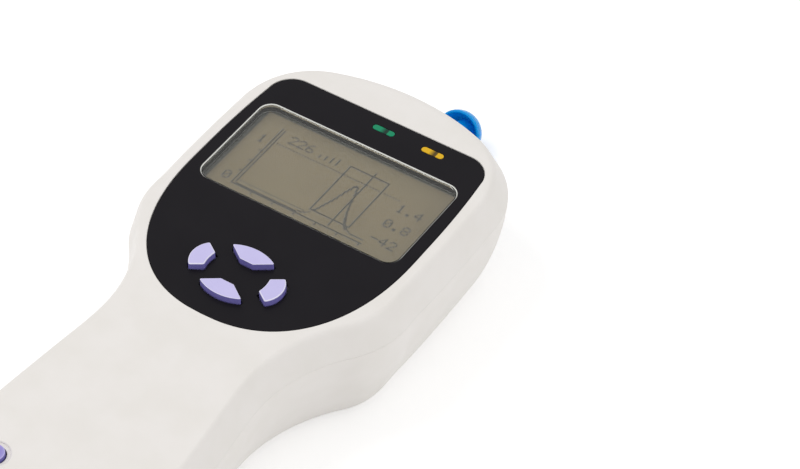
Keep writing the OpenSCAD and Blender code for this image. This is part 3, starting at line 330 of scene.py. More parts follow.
def finish(name, colour, second, rough, grain=0.3, depth=0.006, stretch=(1, 1, 1), worn=None, **plain):
    """A surface between two close colours, with its own grain, gloss range and worn edges."""
    material = bpy.data.materials.new(name)
    material.use_nodes = True
    tree = material.node_tree
    shader = tree.nodes["Principled BSDF"]
    for socket, value in plain.items():
        shader.inputs[socket.replace("_", " ")].default_value = value
    grained = add_node(tree, "ShaderNodeGroup", node_tree=grain_group)
    grained.inputs["Size"].default_value = grain
    grained.inputs["Stretch"].default_value = stretch
    height = grained.outputs["Height"]
    mottled = rising(tree, grained.outputs["Mottle"], 0.35, 0.65)
    blend = {"A": colour_of(*colour), "B": colour_of(*second), "Factor": mottled}
    mixed = add_node(tree, "ShaderNodeMix", blend, data_type="RGBA")
    gloss = add_node(tree, "ShaderNodeMapRange", {"To Min": rough[0], "To Max": rough[1], "Value": height})
    bump = add_node(tree, "ShaderNodeBump", {"Distance": depth * MM, "Height": height})
    tree.links.new(mixed.outputs["Result"], shader.inputs["Base Color"])
    tree.links.new(gloss.outputs[0], shader.inputs["Roughness"])
    tree.links.new(bump.outputs["Normal"], shader.inputs["Normal"])
    if worn:
        wear = add_node(tree, "ShaderNodeGroup", node_tree=wear_group)
        wear.inputs["Reach"].default_value = 0.08
        paint_over(material, wear.outputs["Mask"], worn)
    return material


def dress(piece, material, body=None, stands_for=()):
    """Gives a piece its material, and for a piece made here the body it goes with, hiding the nodes it stands
    for.
    """
    piece.data.materials.clear()
    piece.data.materials.append(material)
    if body:
        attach(piece, body)
    if stands_for:
        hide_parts(*stands_for)


housing_white = finish("Warm white satin plastic", (238, 234, 230), (235, 231, 226), (0.42, 0.52), 0.35,
                       0.012, Specular_IOR_Level=0.4)
TOWER_R, BAY_TOWER_R, SCREW_D, SCREW_HEAD_D, SCREW_GRIP, BAY_OUT = 3.6, 3.4, 2.9, 5.6, 8, 9
crown_screw = (corner_c[0] + 9.3, corner_c[1] + 7.3)
shoulder_screw = (shoulder_c[0] + 7.6, shoulder_c[1] - 2.8)
bay_x = tail_c[0] + BAY_OUT * math.cos(math.pi / 4)
bay_y = tail_c[1] - BAY_OUT * math.sin(math.pi / 4)
BOARD_TOP, BOARD_T = 31.8, 1.6
BOARD_BOTTOM = BOARD_TOP - BOARD_T
head_z, bay_head_z = BOARD_BOTTOM - SCREW_GRIP, PARTING_Z - SCREW_GRIP
HOLDER_L, HOLDER_FRONT, HOLDER_BACK = 58.2, 0.3, 1
bulkhead_y = TAIL_Y + hull_inner(FLOOR_T) + HOLDER_BACK + HOLDER_L + HOLDER_FRONT
COVER_Z, COVER_GAP = 14.0, 0.2
TIP_Y, RIM_Z, EAR_R, ROOT_Z, PROBE_TILT = 107.5, 7.2, 6.6, 17.4, math.radians(26)
root_y = TIP_Y - EAR_R - (ROOT_Z - RIM_Z) / math.tan(PROBE_TILT)
on_probe = at(0, root_y, ROOT_Z) @ Matrix.Rotation(-math.pi / 2 - PROBE_TILT, 4, "X")
ir_z = (COVER_Z + PARTING_Z) / 2 + 0.4
tail_slope = math.atan(hull_inset(ir_z - 0.5) - hull_inset(ir_z + 0.5))
on_tail = at(0, TAIL_Y + hull_inset(ir_z), ir_z) @ Matrix.Rotation(math.pi / 2 + tail_slope, 4, "X")
LIP_IN, LIP_T, LIP_UP, OUTSIDE_STEPS = WALL + 0.4, 1.2, 1.5, 23
SEAM_IN, SEAM_EDGE, SEAM_DROP = 0.14, 0.05, 0.04


def hull_skin(name):
    """The hull in one loft: up the inside of its wall, over the lip and down the bowed outside."""
    rings = [ring(z, hull_inner(z)) for z in (FLOOR_T, FLOOR_T + 1.5, FLOOR_T + 4, FLOOR_T + 9,
                                              PARTING_Z - 9, PARTING_Z - 3)]
    rings += [ring(PARTING_Z + up, inset) for up, inset in (
        (-1, LIP_IN + LIP_T), (LIP_UP, LIP_IN + LIP_T), (LIP_UP, LIP_IN + 0.15), (0, LIP_IN), (0, SEAM_IN),
        (-SEAM_DROP, SEAM_EDGE))]
    for k in range(1, OUTSIDE_STEPS + 1):
        turn = math.radians(90 * k / OUTSIDE_STEPS)
        down, out = math.sin(turn) ** (2 / BOW), max(0, math.cos(turn)) ** (2 / BOW)
        rings.append(ring(PARTING_Z * (1 - down), HULL_TUCK * (1 - out)))
    return loft(name, rings)


def rounded(w, h, r, centre=(0, 0), steps=6):
    points = []
    for k, (sx, sy) in enumerate([(1, 1), (-1, 1), (-1, -1), (1, -1)]):
        points += turned((centre[0] + sx * (w / 2 - r), centre[1] + sy * (h / 2 - r)), r,
                         [90 * k + 90 * i / steps for i in range(steps + 1)])
    return points


def laid(name, points, z0, z1, place):
    """A prism on another plane."""
    made = prism(name, points, z0, z1)
    made.data.transform(Matrix.Scale(MM, 4) @ place @ Matrix.Scale(1 / MM, 4))
    return made


BOWL_LEVELS = (0, 0.7, 2.4, 5.5, 10.5, 17, 24, BOARD_BOTTOM)
RIB_T, RIB_FOOT, RIB_TOP = 1.6, FLOOR_T - 0.5, PARTING_Z - 1.2
rear_hull = hull_skin("rear_hull")
for side in (1, -1):
    for (x, y), (cx, cy), r in ((crown_screw, corner_c, CORNER_R), (shoulder_screw, shoulder_c, SHOULDER_R)):
        tower = rod("tower", TOWER_R, FLOOR_T, BOARD_BOTTOM, at(side * x, y))
        within_wall = [(r - hull_inset(z) - 0.5, z) for z in BOWL_LEVELS]
        bowl = turning("bowl", [(0, 0)] + within_wall + [(0, BOARD_BOTTOM)], at(side * cx, cy))
        fuse(rear_hull, keep(tower, bowl))
    rib_end = TAIL_CORNER_R - 1 - hull_inset(bay_head_z)
    rib = [(BAY_OUT, -RIB_T / 2), (rib_end, -RIB_T / 2), (rib_end, RIB_T / 2), (BAY_OUT, RIB_T / 2)]
    along_rib = at(side * tail_c[0], tail_c[1]) @ Matrix.Rotation(math.radians(-90 + 45 * side), 4, "Z")
    fuse(rear_hull, rod("tower", BAY_TOWER_R, bay_head_z, PARTING_Z, at(side * bay_x, bay_y)),
         laid("rib", rib, bay_head_z, RIB_TOP, along_rib))
cross_wall = []
for z in (RIB_FOOT, RIB_TOP):
    w = handle_half(bulkhead_y) - hull_inset(z) - 1
    corners = ((-w, 0), (w, 0), (w, RIB_T), (-w, RIB_T))
    cross_wall.append([(x, bulkhead_y + y, z) for x, y in corners])
COLLAR_R, COLLAR_BACK, COLLAR_FRONT, CORE_R = 10.8, -5.4, 1.7, 6.55
fuse(rear_hull, loft("cross_wall", cross_wall), rod("collar", COLLAR_R, COLLAR_BACK, COLLAR_FRONT, on_probe))
motor_front = bulkhead_y + 27.1
for y in (motor_front + 6, motor_front + 20.5):
    fuse(rear_hull, rod("pump_post", 3, RIB_FOOT, FLOOR_T + 1.2, at(0, y)))
    cut(rear_hull, rod("pilot", 1.05, FLOOR_T + 0.3, FLOOR_T + 5, at(0, y)))
cut(rear_hull, box("tail_opening", -70, TAIL_Y - 10, -1, 70, bulkhead_y + COVER_GAP, COVER_Z + COVER_GAP),
    box("wire_slot", -5, bulkhead_y - 1, PARTING_Z - 4, 5, bulkhead_y + 3, PARTING_Z + 2),
    rod("core_bore", CORE_R, COLLAR_BACK - 1, 3, on_probe),
    laid("infrared_seat", rounded(13.2, 6.6, 1.6), -1.5, 3.5, on_tail),
    laid("infrared_hole", rounded(11, 4.4, 0.8), -6.2, 1.8, on_tail))
HOOKS_X, HOOK_HALF, HOOK_GAP = (-7, 7), 3.5, 0.3
for x in HOOKS_X:
    west, east = x - HOOK_HALF - HOOK_GAP, x + HOOK_HALF + HOOK_GAP
    cut(rear_hull, box("hook_slot", west, bulkhead_y - 1, FLOOR_T + 0.1, east, bulkhead_y + 5, FLOOR_T + 1.7))
sunk_r, shank_r, mouth = SCREW_HEAD_D / 2 + 0.4, SCREW_D / 2 + 0.2, 0.35
for side in (1, -1):
    for x, y in (crown_screw, shoulder_screw):
        cut(rear_hull, turning("counterbore", [
            (0, -1), (sunk_r + mouth, -1), (sunk_r + mouth, 0), (sunk_r, mouth), (sunk_r, head_z),
            (shank_r, head_z), (shank_r, BOARD_BOTTOM + 1), (0, BOARD_BOTTOM + 1)], at(side * x, y)))
    cut(rear_hull, rod("screw_hole", shank_r, bay_head_z - 1, PARTING_Z + 3, at(side * bay_x, bay_y)))
dress(smooth(rear_hull), housing_white, "housing", ["rear_shell"])


# Infrared port: a dark red lens that lets infrared through, set in the tail for the results printer,
# with a diode on its own small board behind it.
infrared_red = finish("Dark infrared lens", (44, 8, 14), (34, 5, 10), (0.04, 0.1), 0.5, 0.001,
                      Coat_Weight=0.6)
diode_board = finish("Diode board", (40, 44, 62), (32, 36, 52), (0.35, 0.5), 0.4, 0.01,
                     Specular_IOR_Level=0.4)


def dress_nodes(**materials):
    """Gives the pieces that keep the shape of their solids a material each."""
    for name, material in materials.items():
        dress(nodes[name], material)


dress_nodes(infrared_window=infrared_red, infrared_emitter=diode_board)


# Battery bay: a moulded black holder with four cells in two layers, nickelled conical springs on
# one end of each cell and flat nickelled plates on the other.
holder_black = finish("Moulded black holder", (34, 34, 36), (26, 26, 28), (0.42, 0.62), 0.4, 0.02,
                      worn=(70, 70, 74))
nickel = finish("Nickelled contact", (206, 203, 196), (180, 176, 168), (0.16, 0.3), 0.15, 0.004,
                stretch=(1, 1, 5), Metallic=1.0)
dress_nodes(battery_holder=holder_black, battery_springs=nickel, battery_plates=nickel)


def object_axes(tree):
    """The X, Y and Z of a point on its piece, in metres."""
    coords = add_node(tree, "ShaderNodeTexCoord")
    return add_node(tree, "ShaderNodeSeparateXYZ", {0: coords.outputs["Object"]}).outputs


def cell_sleeve(name, y_from, y_to):
    """A cell's printed sleeve: black for most of its length and copper at the positive end."""
    material = finish(name, (30, 31, 34), (24, 25, 28), (0.2, 0.3), 0.5, 0.002, worn=(120, 120, 124),
                      Metallic=0.4)
    tree = material.node_tree
    along = rising(tree, object_axes(tree)["Y"], y_from * MM, y_to * MM)
    bands = add_node(tree, "ShaderNodeValToRGB", {"Fac": along})
    bands.color_ramp.interpolation = "CONSTANT"
    bands.color_ramp.elements[1].position = 0.72
    return paint_over(material, bands.outputs["Color"], (196, 132, 62))


NUB_L = 1.2
cell_low, cell_high = (corner.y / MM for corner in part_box("battery_cell_1"))
towards_head = cell_sleeve("Cell sleeve towards the head", cell_high, cell_low + NUB_L)
cell_low, cell_high = (corner.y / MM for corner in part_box("battery_cell_2"))
towards_tail = cell_sleeve("Cell sleeve towards the tail", cell_low, cell_high - NUB_L)
dress_nodes(battery_cell_1=towards_head, battery_cell_2=towards_tail, battery_cell_3=towards_head,
            battery_cell_4=towards_tail)


# Air pump: a folded steel bracket with a small motor, a brass coupling, a ground screw and guide rod,
# and a clear cylinder with an acetal piston. It changes the pressure in the ear canal.
folded_steel = finish("Folded zinc-plated steel", (178, 180, 184), (164, 167, 172), (0.26, 0.4), 0.12, 0.006,
                      stretch=(6, 1, 1), worn=(214, 215, 218), Metallic=1.0)
drawn_steel = finish("Drawn steel can", (168, 168, 172), (154, 155, 160), (0.2, 0.34), 0.12, 0.005,
                     stretch=(1, 8, 1), Metallic=1.0)
turned_brass = finish("Turned brass", (206, 168, 92), (192, 150, 78), (0.16, 0.28), 0.1, 0.004,
                      stretch=(1, 8, 1), Metallic=1.0)
ground_steel = finish("Ground steel rod", (196, 197, 200), (184, 186, 190), (0.1, 0.18), 0.08, 0.002,
                      stretch=(1, 10, 1), Metallic=1.0)
clear_moulding = finish("Clear cylinder moulding", (214, 222, 226), (206, 215, 220), (0.05, 0.12), 0.5, 0.002,
                        Transmission_Weight=0.75, IOR=1.49)
acetal = finish("Natural acetal", (236, 233, 224), (228, 224, 213), (0.34, 0.46), 0.3, 0.006,
                Subsurface_Weight=0.05, Subsurface_Scale=0.002)
black_rubber = finish("Nitrile rubber", (24, 24, 26), (18, 18, 20), (0.45, 0.7), 0.25, 0.01,
                      Specular_IOR_Level=0.35)
silicone_hose = finish("Translucent silicone hose", (214, 218, 222), (202, 207, 212), (0.3, 0.42), 0.4, 0.004,
                       Subsurface_Weight=0.2, Subsurface_Scale=0.002)
plated_screw = finish("Zinc-plated screw", (190, 192, 196), (170, 172, 178), (0.2, 0.36), 0.1, 0.004,
                      worn=(226, 226, 228), Metallic=1.0)
dress_nodes(pump_bracket=folded_steel, bracket_screws=plated_screw, pump_motor=drawn_steel,
            pump_coupling=turned_brass, pump_screw=ground_steel, pump_guide=ground_steel,
            pump_cylinder=clear_moulding, pump_piston=acetal, piston_seal=black_rubber)
HOSE_R = 1.5


def hose(name, x, start, out, back, finish_at, stands_for):
    """A silicone hose from a spigot to the probe's core, pushed over both and bent in one plane."""
    curve = bpy.data.curves.new(name, "CURVE")
    curve.dimensions = "3D"
    curve.bevel_depth, curve.bevel_resolution, curve.resolution_u = HOSE_R * MM, 5, 24
    spline = curve.splines.new("BEZIER")
    spline.bezier_points.add(1)
    ends = ((start, start, out), (finish_at, back, finish_at))
    for point, (co, left, right) in zip(spline.bezier_points, ends):
        point.handle_left_type = point.handle_right_type = "FREE"
        point.co = (x * MM, co[0] * MM, co[1] * MM)
        point.handle_left = (x * MM, left[0] * MM, left[1] * MM)
        point.handle_right = (x * MM, right[0] * MM, right[1] * MM)
    drawn = bpy.data.objects.new(name, curve)
    bpy.context.scene.collection.objects.link(drawn)
    mesh = bpy.data.meshes.new_from_object(drawn.evaluated_get(bpy.context.evaluated_depsgraph_get()))
    bpy.data.objects.remove(drawn)
    made = bpy.data.objects.new(name, mesh)
    bpy.context.scene.collection.objects.link(made)
    dress(smooth(made), silicone_hose, "housing", [stands_for])


def probe_point(s, side):
    """The place along the probe, and to one side of its axis, in the middle plane."""
    point = on_probe @ Vector((0, side, s))
    return point.y, point.z


CORE_BACK, PUMP_PORT, SENSOR_PORT = -12.8, 3.9, -3
pump_end, pump_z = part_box("pump_cylinder")[1].y / MM - 4, 13.5
hose("pump_hose", 0, (pump_end + 0.4, pump_z), (pump_end + 14.4, pump_z), probe_point(-21.4, PUMP_PORT),
     probe_point(CORE_BACK, PUMP_PORT), "pump_tube")
sensor_z = BOARD_BOTTOM - 2.2
hose("sensor_hose", 3, (WINDOW_Y + 8.9, sensor_z), (WINDOW_Y + 12.9, sensor_z),
     probe_point(-17.4, SENSOR_PORT), probe_point(CORE_BACK, SENSOR_PORT), "sensor_tube")


# Probe: a moulded acoustic core clamped in the collar by a ring nut, with a receiver and a microphone
# let into its back and an O-ring round its front.
core_grey = finish("Glass-filled core moulding", (74, 76, 80), (62, 64, 68), (0.4, 0.56), 0.2, 0.014,
                   worn=(120, 122, 126))
gold_shell = finish("Gilt transducer shell", (214, 186, 128), (202, 172, 112), (0.18, 0.3), 0.15, 0.003,
                    Metallic=1.0)
dress_nodes(probe_core=core_grey, probe_nut=folded_steel, receiver=drawn_steel, microphone=gold_shell,
            probe_seal=black_rubber)


# Boards: glass-epoxy with green solder mask, screwed to the front shell, with the chips, indicator
# diodes, beeper and the pressure sensor on both sides of the main one.
solder_mask = finish("Green solder mask", (24, 92, 48), (18, 78, 40), (0.28, 0.42), 0.9, 0.008,
                     Coat_Weight=0.3)
mould_compound = finish("Black mould compound", (32, 32, 34), (26, 26, 28), (0.5, 0.66), 0.15, 0.008)
ceramic = finish("Ceramic diode body", (232, 228, 208), (222, 216, 192), (0.2, 0.34), 0.3, 0.003)
beeper_black = finish("Beeper case", (28, 28, 30), (22, 22, 24), (0.4, 0.55), 0.25, 0.012, worn=(64, 64, 68))
sensor_ivory = finish("Ivory sensor case", (222, 218, 204), (212, 207, 190), (0.36, 0.5), 0.25, 0.008)
dress_nodes(main_board=solder_mask, power_board=solder_mask, board_chips=mould_compound, status_leds=ceramic,
            board_screws=plated_screw, beeper=beeper_black, pressure_sensor=sensor_ivory)


# Display module: a liquid crystal glass on a milky light guide, in a black frame whose lip the window
# rests on. A darker band is painted round the edge of the glass, as the shade of the deep recess.
# Its dots draw a curve with a peak on axes, with plain figures beside it.
glass_olive = finish("Olive liquid crystal glass", (128, 115, 87), (124, 111, 84), (0.22, 0.3), 0.6, 0.001,
                     Specular_IOR_Level=0.12)
# Outside these half sizes the glass is painted darker, as shade from the recess round it.
RECESS_SHADE_INSIDE, RECESS_SHADE_FADE = (28.7, 14.9), 0.5
tree = glass_olive.node_tree
axes = object_axes(tree)
shade_borders = []
for axis, centre, inside in zip("XY", (0, WINDOW_Y), RECESS_SHADE_INSIDE):
    away = maths(tree, "ABSOLUTE", maths(tree, "SUBTRACT", axes[axis], centre * MM))
    shade_borders.append(rising(tree, away, inside * MM, (inside + RECESS_SHADE_FADE) * MM))
paint_over(glass_olive, maths(tree, "MAXIMUM", *shade_borders), (66, 66, 57))
frame_grey = finish("Display frame", (46, 46, 40), (38, 38, 33), (0.3, 0.42), 0.3, 0.006)
milky_guide = finish("Milky light guide", (236, 238, 234), (230, 233, 229), (0.3, 0.4), 0.4, 0.002)
dress_nodes(lcd_glass=glass_olive, lcd_frame=frame_grey, backlight=milky_guide)

DOTS_X, DOTS_Y, PITCH, DRAWN_X, DRAWN_Y = 128, 64, 0.44, 29.6, 15.2
DOT_SIZE = PITCH * 0.86
# Each figure is five dots wide and seven high, read from its top row down.
FIGURES = {"0": "01110100011001110101110011000101110", "1": "00100011000010000100001000010001110",
           "2": "01110100010000100010001000100011111", "4": "00010001100101010010111110001000010",
           "6": "00110010001000011110100011000101110", "8": "01110100011000101110100011000101110",
           ".": "00000000000000000000000000110001100", "-": "00000000000000011111000000000000000"}
lit = set()


def dot_line(x0, y0, x1, y1, every=1):
    count = max(abs(x1 - x0), abs(y1 - y0))
    for k in range(0, int(count) + 1, every):
        lit.add((round(x0 + (x1 - x0) * k / count), round(y0 + (y1 - y0) * k / count)))


def dot_figures(word, x, y):
    for place, figure in enumerate(word):
        for k, on in enumerate(FIGURES[figure]):
            if on == "1":
                lit.add((x + 6 * place + k % 5, y + 6 - k // 5))


def trace(x):
    """The height of the curve: a base line with one peak."""
    return 6 + 36 * math.exp(-abs((x - 77) / 7.5) ** 1.6)


for stroke in ((13, 5, 13, 58), (15, 7, 15, 57), (13, 5, 104, 5), (15, 9, 61, 9, 2), (15, 46, 104, 46, 2),
               (64, 12, 64, 54), (64, 54, 91, 54), (91, 54, 91, 12), (64, 12, 91, 12), (80, 7, 80, 57)):
    dot_line(*stroke)
for y in (16, 26, 36):
    dot_line(11, y, 13, y)
for x in (28, 43, 58, 73, 88, 103):
    dot_line(x, 3, x, 5)
for x in range(16, 104):
    height = round(trace(x) + (1.5 if x > 84 else 0))
    lit.add((x, height))
    if 66 <= x <= 90:
        dot_line(x, height, x, round(trace(x + 1)) + (x > 83))
for figures, x, y in (("1", 5, 42), ("0", 5, 6), ("226", 22, 50), ("1.4", 106, 38), ("0.8", 106, 24),
                      ("-42", 106, 10)):
    dot_figures(figures, x, y)
for column in range(4):
    dot_line(44 + 4 * column, 50, 44 + 4 * column, 52 + column)

SQUARE = ((-1, -1), (1, -1), (1, 1), (-1, 1))


def dot_layer(name, z, shift):
    """Every dark dot of the display as its own small square, on one level."""
    mesh = bmesh.new()
    for i, j in sorted(lit):
        cx, cy = (i - DOTS_X / 2 + 0.5) * PITCH + shift, (j - DOTS_Y / 2 + 0.5) * PITCH + WINDOW_Y + shift
        if abs(cx) < DRAWN_X and abs(cy - WINDOW_Y) < DRAWN_Y:
            mesh.faces.new([mesh.verts.new((cx + sx * DOT_SIZE / 2, cy + sy * DOT_SIZE / 2, z))
                            for sx, sy in SQUARE])
    return piece_of(name, mesh)


dot_ink = finish("Dark crystal dot", (38, 32, 22), (46, 40, 29), (0.3, 0.4), 0.3, 0.001)
dot_shade = finish("Shadow of a dot on the reflector", (116, 106, 84), (112, 103, 82), (0.3, 0.4), 0.3, 0.001)
glass_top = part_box("lcd_glass")[1].z / MM
dress(dot_layer("display_dots", glass_top + 0.06, 0), dot_ink, "housing")
dress(dot_layer("display_dot_shadows", glass_top + 0.03, -0.22), dot_shade, "housing")


# Key mat: one moulded sheet of grey silicone with four hollow domes, laid over the board. Under each
# dome a stainless snap dome closes the contact.
mat_silicone = finish("Grey silicone mat", (128, 128, 136), (116, 116, 124), (0.5, 0.68), 0.3, 0.01,
                      Specular_IOR_Level=0.3)
snap_steel = finish("Stainless snap dome", (208, 206, 198), (194, 192, 186), (0.18, 0.3), 0.12, 0.003,
                    Metallic=1.0)
dress_nodes(key_mat=mat_silicone, key_switches=snap_steel)


# Front shell: the shallow half of the housing, in the same white plastic, with a rolled front edge.
# Its face is stepped down for the black panel, and it carries the screw towers for the board.
PANEL_STEP, PANEL_T, FACE_T = 0.15, 1.35, 3.0
RECESS_Z, CEILING_Z = FACE_Z - PANEL_STEP - PANEL_T, FACE_Z - FACE_T
PANEL_HALF, PANEL_UP, PANEL_DOWN, PANEL_CORNER_R, PANEL_BOW_Y = 34.0, 27.5, 54.9, 7.0, -11.0
PANEL_SIDE_R, PANEL_CURVE = 228, 2.3
WINDOW_W, WINDOW_H, WINDOW_R = 60.3, 31.7, 3.5
KEYS_Y = WINDOW_Y - 39.9
SPLIT = FACE_Z - PARTING_Z


def panel_side(y):
    return PANEL_HALF - max(0, y - PANEL_BOW_Y / 4) ** 2 / (2 * PANEL_SIDE_R)


def panel_outline(grow=0.0):
    corner_y = PANEL_UP - PANEL_CORNER_R
    right = turned((panel_side(corner_y) - PANEL_CORNER_R, corner_y), PANEL_CORNER_R + grow,
                   [90 - 7.5 * k for k in range(13)])
    right += [Vector((panel_side(y) + grow, y)) for y in even(corner_y * 0.8, PANEL_BOW_Y / 4, 6)]
    for t in [math.radians(2.5 * k) for k in range(35)]:
        right.append(Vector((
            (PANEL_HALF + grow) * math.cos(t) ** (2 / PANEL_CURVE),
            PANEL_BOW_Y - (PANEL_DOWN + PANEL_BOW_Y + grow) * math.sin(t) ** (2 / PANEL_CURVE))))
    loop = right + [Vector((0, -PANEL_DOWN - grow))] + [Vector((-p.x, p.y)) for p in right[::-1]]
    return [(p.x, p.y + WINDOW_Y) for p in loop]


def levels(points_at, steps):
    """Rings for a solid whose outline grows or shrinks from level to level."""
    return [[(p[0], p[1], z) for p in points_at(grow)] for grow, z in steps]


ROLL_END, ROLL_DROP = 0.54, 0.25
edge_steps = [((1 - t) ** 2 + 1.44 * t * (1 - t) + ROLL_END * t * t, ROLL_DROP * t * t)
              for t in even(0, 1, 12)]
side_steps = [(ROLL_END * (1 - t), ROLL_DROP + (1 - ROLL_DROP) * t) for t in (0.2, 0.45, 0.7, 0.9, 0.985)]
inner_steps = ((0, 0), (0, 1.8 / (SPLIT - FACE_T)), (0.45, 0.55), (0.6, 0.9), (0.85, 1))
front_shell = loft("front_housing", (
    [ring(FACE_Z - SPLIT * drop, 0, share) for share, drop in edge_steps + side_steps]
    + [ring(PARTING_Z + SEAM_DROP, SEAM_EDGE), ring(PARTING_Z, SEAM_IN)]
    + [ring(PARTING_Z + (SPLIT - FACE_T) * up, WALL, share) for share, up in inner_steps]))
POWER_X, POWER_Y = -14.0, WINDOW_Y - 118
POWER_BOARD_TOP = CEILING_Z - 3.2
tower_places = [(side * x, y) for side in (1, -1) for x, y in (crown_screw, shoulder_screw)]
bay_places = [(side * bay_x, bay_y) for side in (1, -1)]
small_posts = [(-18, KEYS_Y + 1), (18, KEYS_Y + 1)]
power_posts = [(POWER_X - 1.5, POWER_Y + 7.4), (POWER_X - 1.5, POWER_Y - 7.4)]
for r, foot_z, places in ((TOWER_R, BOARD_TOP, tower_places), (BAY_TOWER_R, PARTING_Z + 0.1, bay_places),
                          (2.5, BOARD_TOP, small_posts), (2.2, POWER_BOARD_TOP, power_posts)):
    for x, y in places:
        fuse(front_shell, rod("post", r, foot_z, CEILING_Z + 0.5, at(x, y)))
recess_steps = [(0.12, RECESS_Z), (0.12, FACE_Z - 0.3), (0.2, FACE_Z - 0.12), (0.42, FACE_Z + 0.01),
                (0.42, FACE_Z + 1)]
window_seat = rounded(WINDOW_W + 2.5, WINDOW_H + 2.5, 4.75, (0, WINDOW_Y))
POWER_HOLE_R, POWER_DISH_R = 3.05, 4.0
cut(front_shell, loft("panel_recess", levels(panel_outline, recess_steps)),
    prism("window_opening", window_seat, CEILING_Z - 1, FACE_Z),
    turning("power_opening", [
        (0, CEILING_Z - 1), (POWER_HOLE_R, CEILING_Z - 1), (POWER_HOLE_R, FACE_Z - 0.5),
        (POWER_DISH_R, FACE_Z - 0.5), (POWER_DISH_R, FACE_Z - 0.2), (POWER_DISH_R + 0.25, FACE_Z + 0.01),
        (POWER_DISH_R + 0.25, FACE_Z + 1), (0, FACE_Z + 1)], at(POWER_X, POWER_Y)))
for foot_z, depth, places in ((BOARD_TOP, 4.4, tower_places), (PARTING_Z, 5.6, bay_places)):
    for x, y in places:
        cut(front_shell, rod("pilot", SCREW_D / 2 + 0.05, foot_z - 1, foot_z + depth, at(x, y)))


# Keys: four lavender caps round a ring, each with a bevelled rim, a flange under the panel and a
# plunger that reaches down to its dome. The sides are painted darker as shade, and the rims paler as a
# highlight.
KEY_TOP, KEY_GAP = FACE_Z - PANEL_STEP + 1.75, 0.35
FLANGE_TOP = CEILING_Z - 0.3
KEY_BOTTOM = FLANGE_TOP - 1
PLUNGER_END = BOARD_TOP + 2.9
LONG_HALF, LONG_R, LONG_OUT, LONG_EAR, LONG_FOOT_X, LONG_FOOT_Y = 6.1, 12.5, 8.8, 6.9, 1.95, 4.05
ROUND_HALF, ROUND_R, ROUND_OUT, HOLLOW_HALF, HOLLOW_R = 4.53, 6.07, 13.53, 2.4, 8.6


def long_key(grow=0.0):
    """The upper key's outline: an arc outside, and a foot narrowed by the ring's two side keys."""
    half_l, r = LONG_HALF + grow, LONG_R + grow
    edge = math.degrees(math.asin(half_l / r))
    points = turned((0, LONG_OUT - LONG_R), r, [90 - edge * k / 10 for k in range(-10, 11)])
    ear_y, foot_x, foot_y = LONG_EAR - grow * 0.6, LONG_FOOT_X + grow * 0.4, LONG_FOOT_Y - grow
    corners = ((half_l, ear_y), (foot_x, foot_y), (-foot_x, foot_y), (-half_l, ear_y))
    return points + [Vector(corner) for corner in corners]


def side_key(grow=0.0):
    """The right key's outline: a round outside, and a hollow inside."""
    r, r_in = ROUND_R + grow, HOLLOW_R - grow
    edge = math.degrees(math.asin((ROUND_HALF + grow) / r))
    inner = math.degrees(math.asin((HOLLOW_HALF + grow) / r_in))
    return (turned((ROUND_OUT - ROUND_R, 0), r, [edge * k / 8 for k in range(-8, 9)])
            + turned((0, 0), r_in, [inner * k / 5 for k in range(5, -6, -1)]))


key_places = {"up": (long_key, Matrix.Identity(4), (0, 6.3)),
              "down": (long_key, Matrix.Diagonal((1, -1, 1, 1)), (0, -6.3)),
              "left": (side_key, Matrix.Rotation(math.pi, 4, "Z"), (-10.9, 0)),
              "right": (side_key, Matrix.Identity(4), (10.9, 0))}


def key_outline(name, grow=0.0):
    shape, turn, _ = key_places[name]
    placed = [turn @ Vector((p.x, p.y, 0)) for p in shape(grow)]
    return [(p.x, p.y + KEYS_Y) for p in placed]


def bevelled(piece, width, segments, degrees=25):
    """Rounds every edge sharper than the angle."""
    rounding = piece.modifiers.new("rounding", "BEVEL")
    rounding.width, rounding.segments = width * MM, segments
    rounding.limit_method, rounding.angle_limit = "ANGLE", math.radians(degrees)
    shaped = bpy.data.meshes.new_from_object(piece.evaluated_get(bpy.context.evaluated_depsgraph_get()))
    piece.modifiers.clear()
    piece.data = shaped
    return piece


def shade_sides_light_rim(material, side_shade_colour, rim_highlight_colour):
    """Paints a key's sides darker as shade, and its bevelled rim paler as a highlight."""
    tree = material.node_tree
    facing = add_node(tree, "ShaderNodeNewGeometry")
    up = add_node(tree, "ShaderNodeSeparateXYZ", {0: facing.outputs["Normal"]}).outputs["Z"]
    # Faces that turn away from the top are painted darker, as shade.
    paint_over(material, rising(tree, up, 0.6, 0.15), side_shade_colour)
    # The bevelled rim is painted paler, as a highlight.
    rim_highlight = maths(tree, "MULTIPLY", rising(tree, up, 0.99, 0.9), rising(tree, up, 0.15, 0.6))
    return paint_over(material, rim_highlight, rim_highlight_colour)


# The second colour is the painted shade of the sides, the third the painted highlight of the rim.
lavender = shade_sides_light_rim(finish("Lavender key", (204, 198, 240), (200, 194, 237), (0.36, 0.46), 0.25, 0.006,
                           Specular_IOR_Level=0.4), (126, 119, 194), (238, 235, 253))
for name, (_, _, (px, py)) in key_places.items():
    cap = bevelled(prism(name + "_key_cap", key_outline(name), KEY_BOTTOM, KEY_TOP), 0.38, 3)
    flange = prism("flange", key_outline(name, 0.9), KEY_BOTTOM + 0.01, FLANGE_TOP)
    fuse(cap, flange, rod("plunger", 1.7, PLUNGER_END, KEY_BOTTOM + 0.5, at(px, KEYS_Y + py), 32))
    dress(smooth(cap), lavender, name + "_key", [name + "_key"])
    cut(front_shell, prism("key_opening", key_outline(name, KEY_GAP), CEILING_Z - 1, FACE_Z))
POWER_KEY_R, POWER_FLANGE_R, POWER_END, POWER_TOP = 2.7, 3.9, 35.5, 40.7
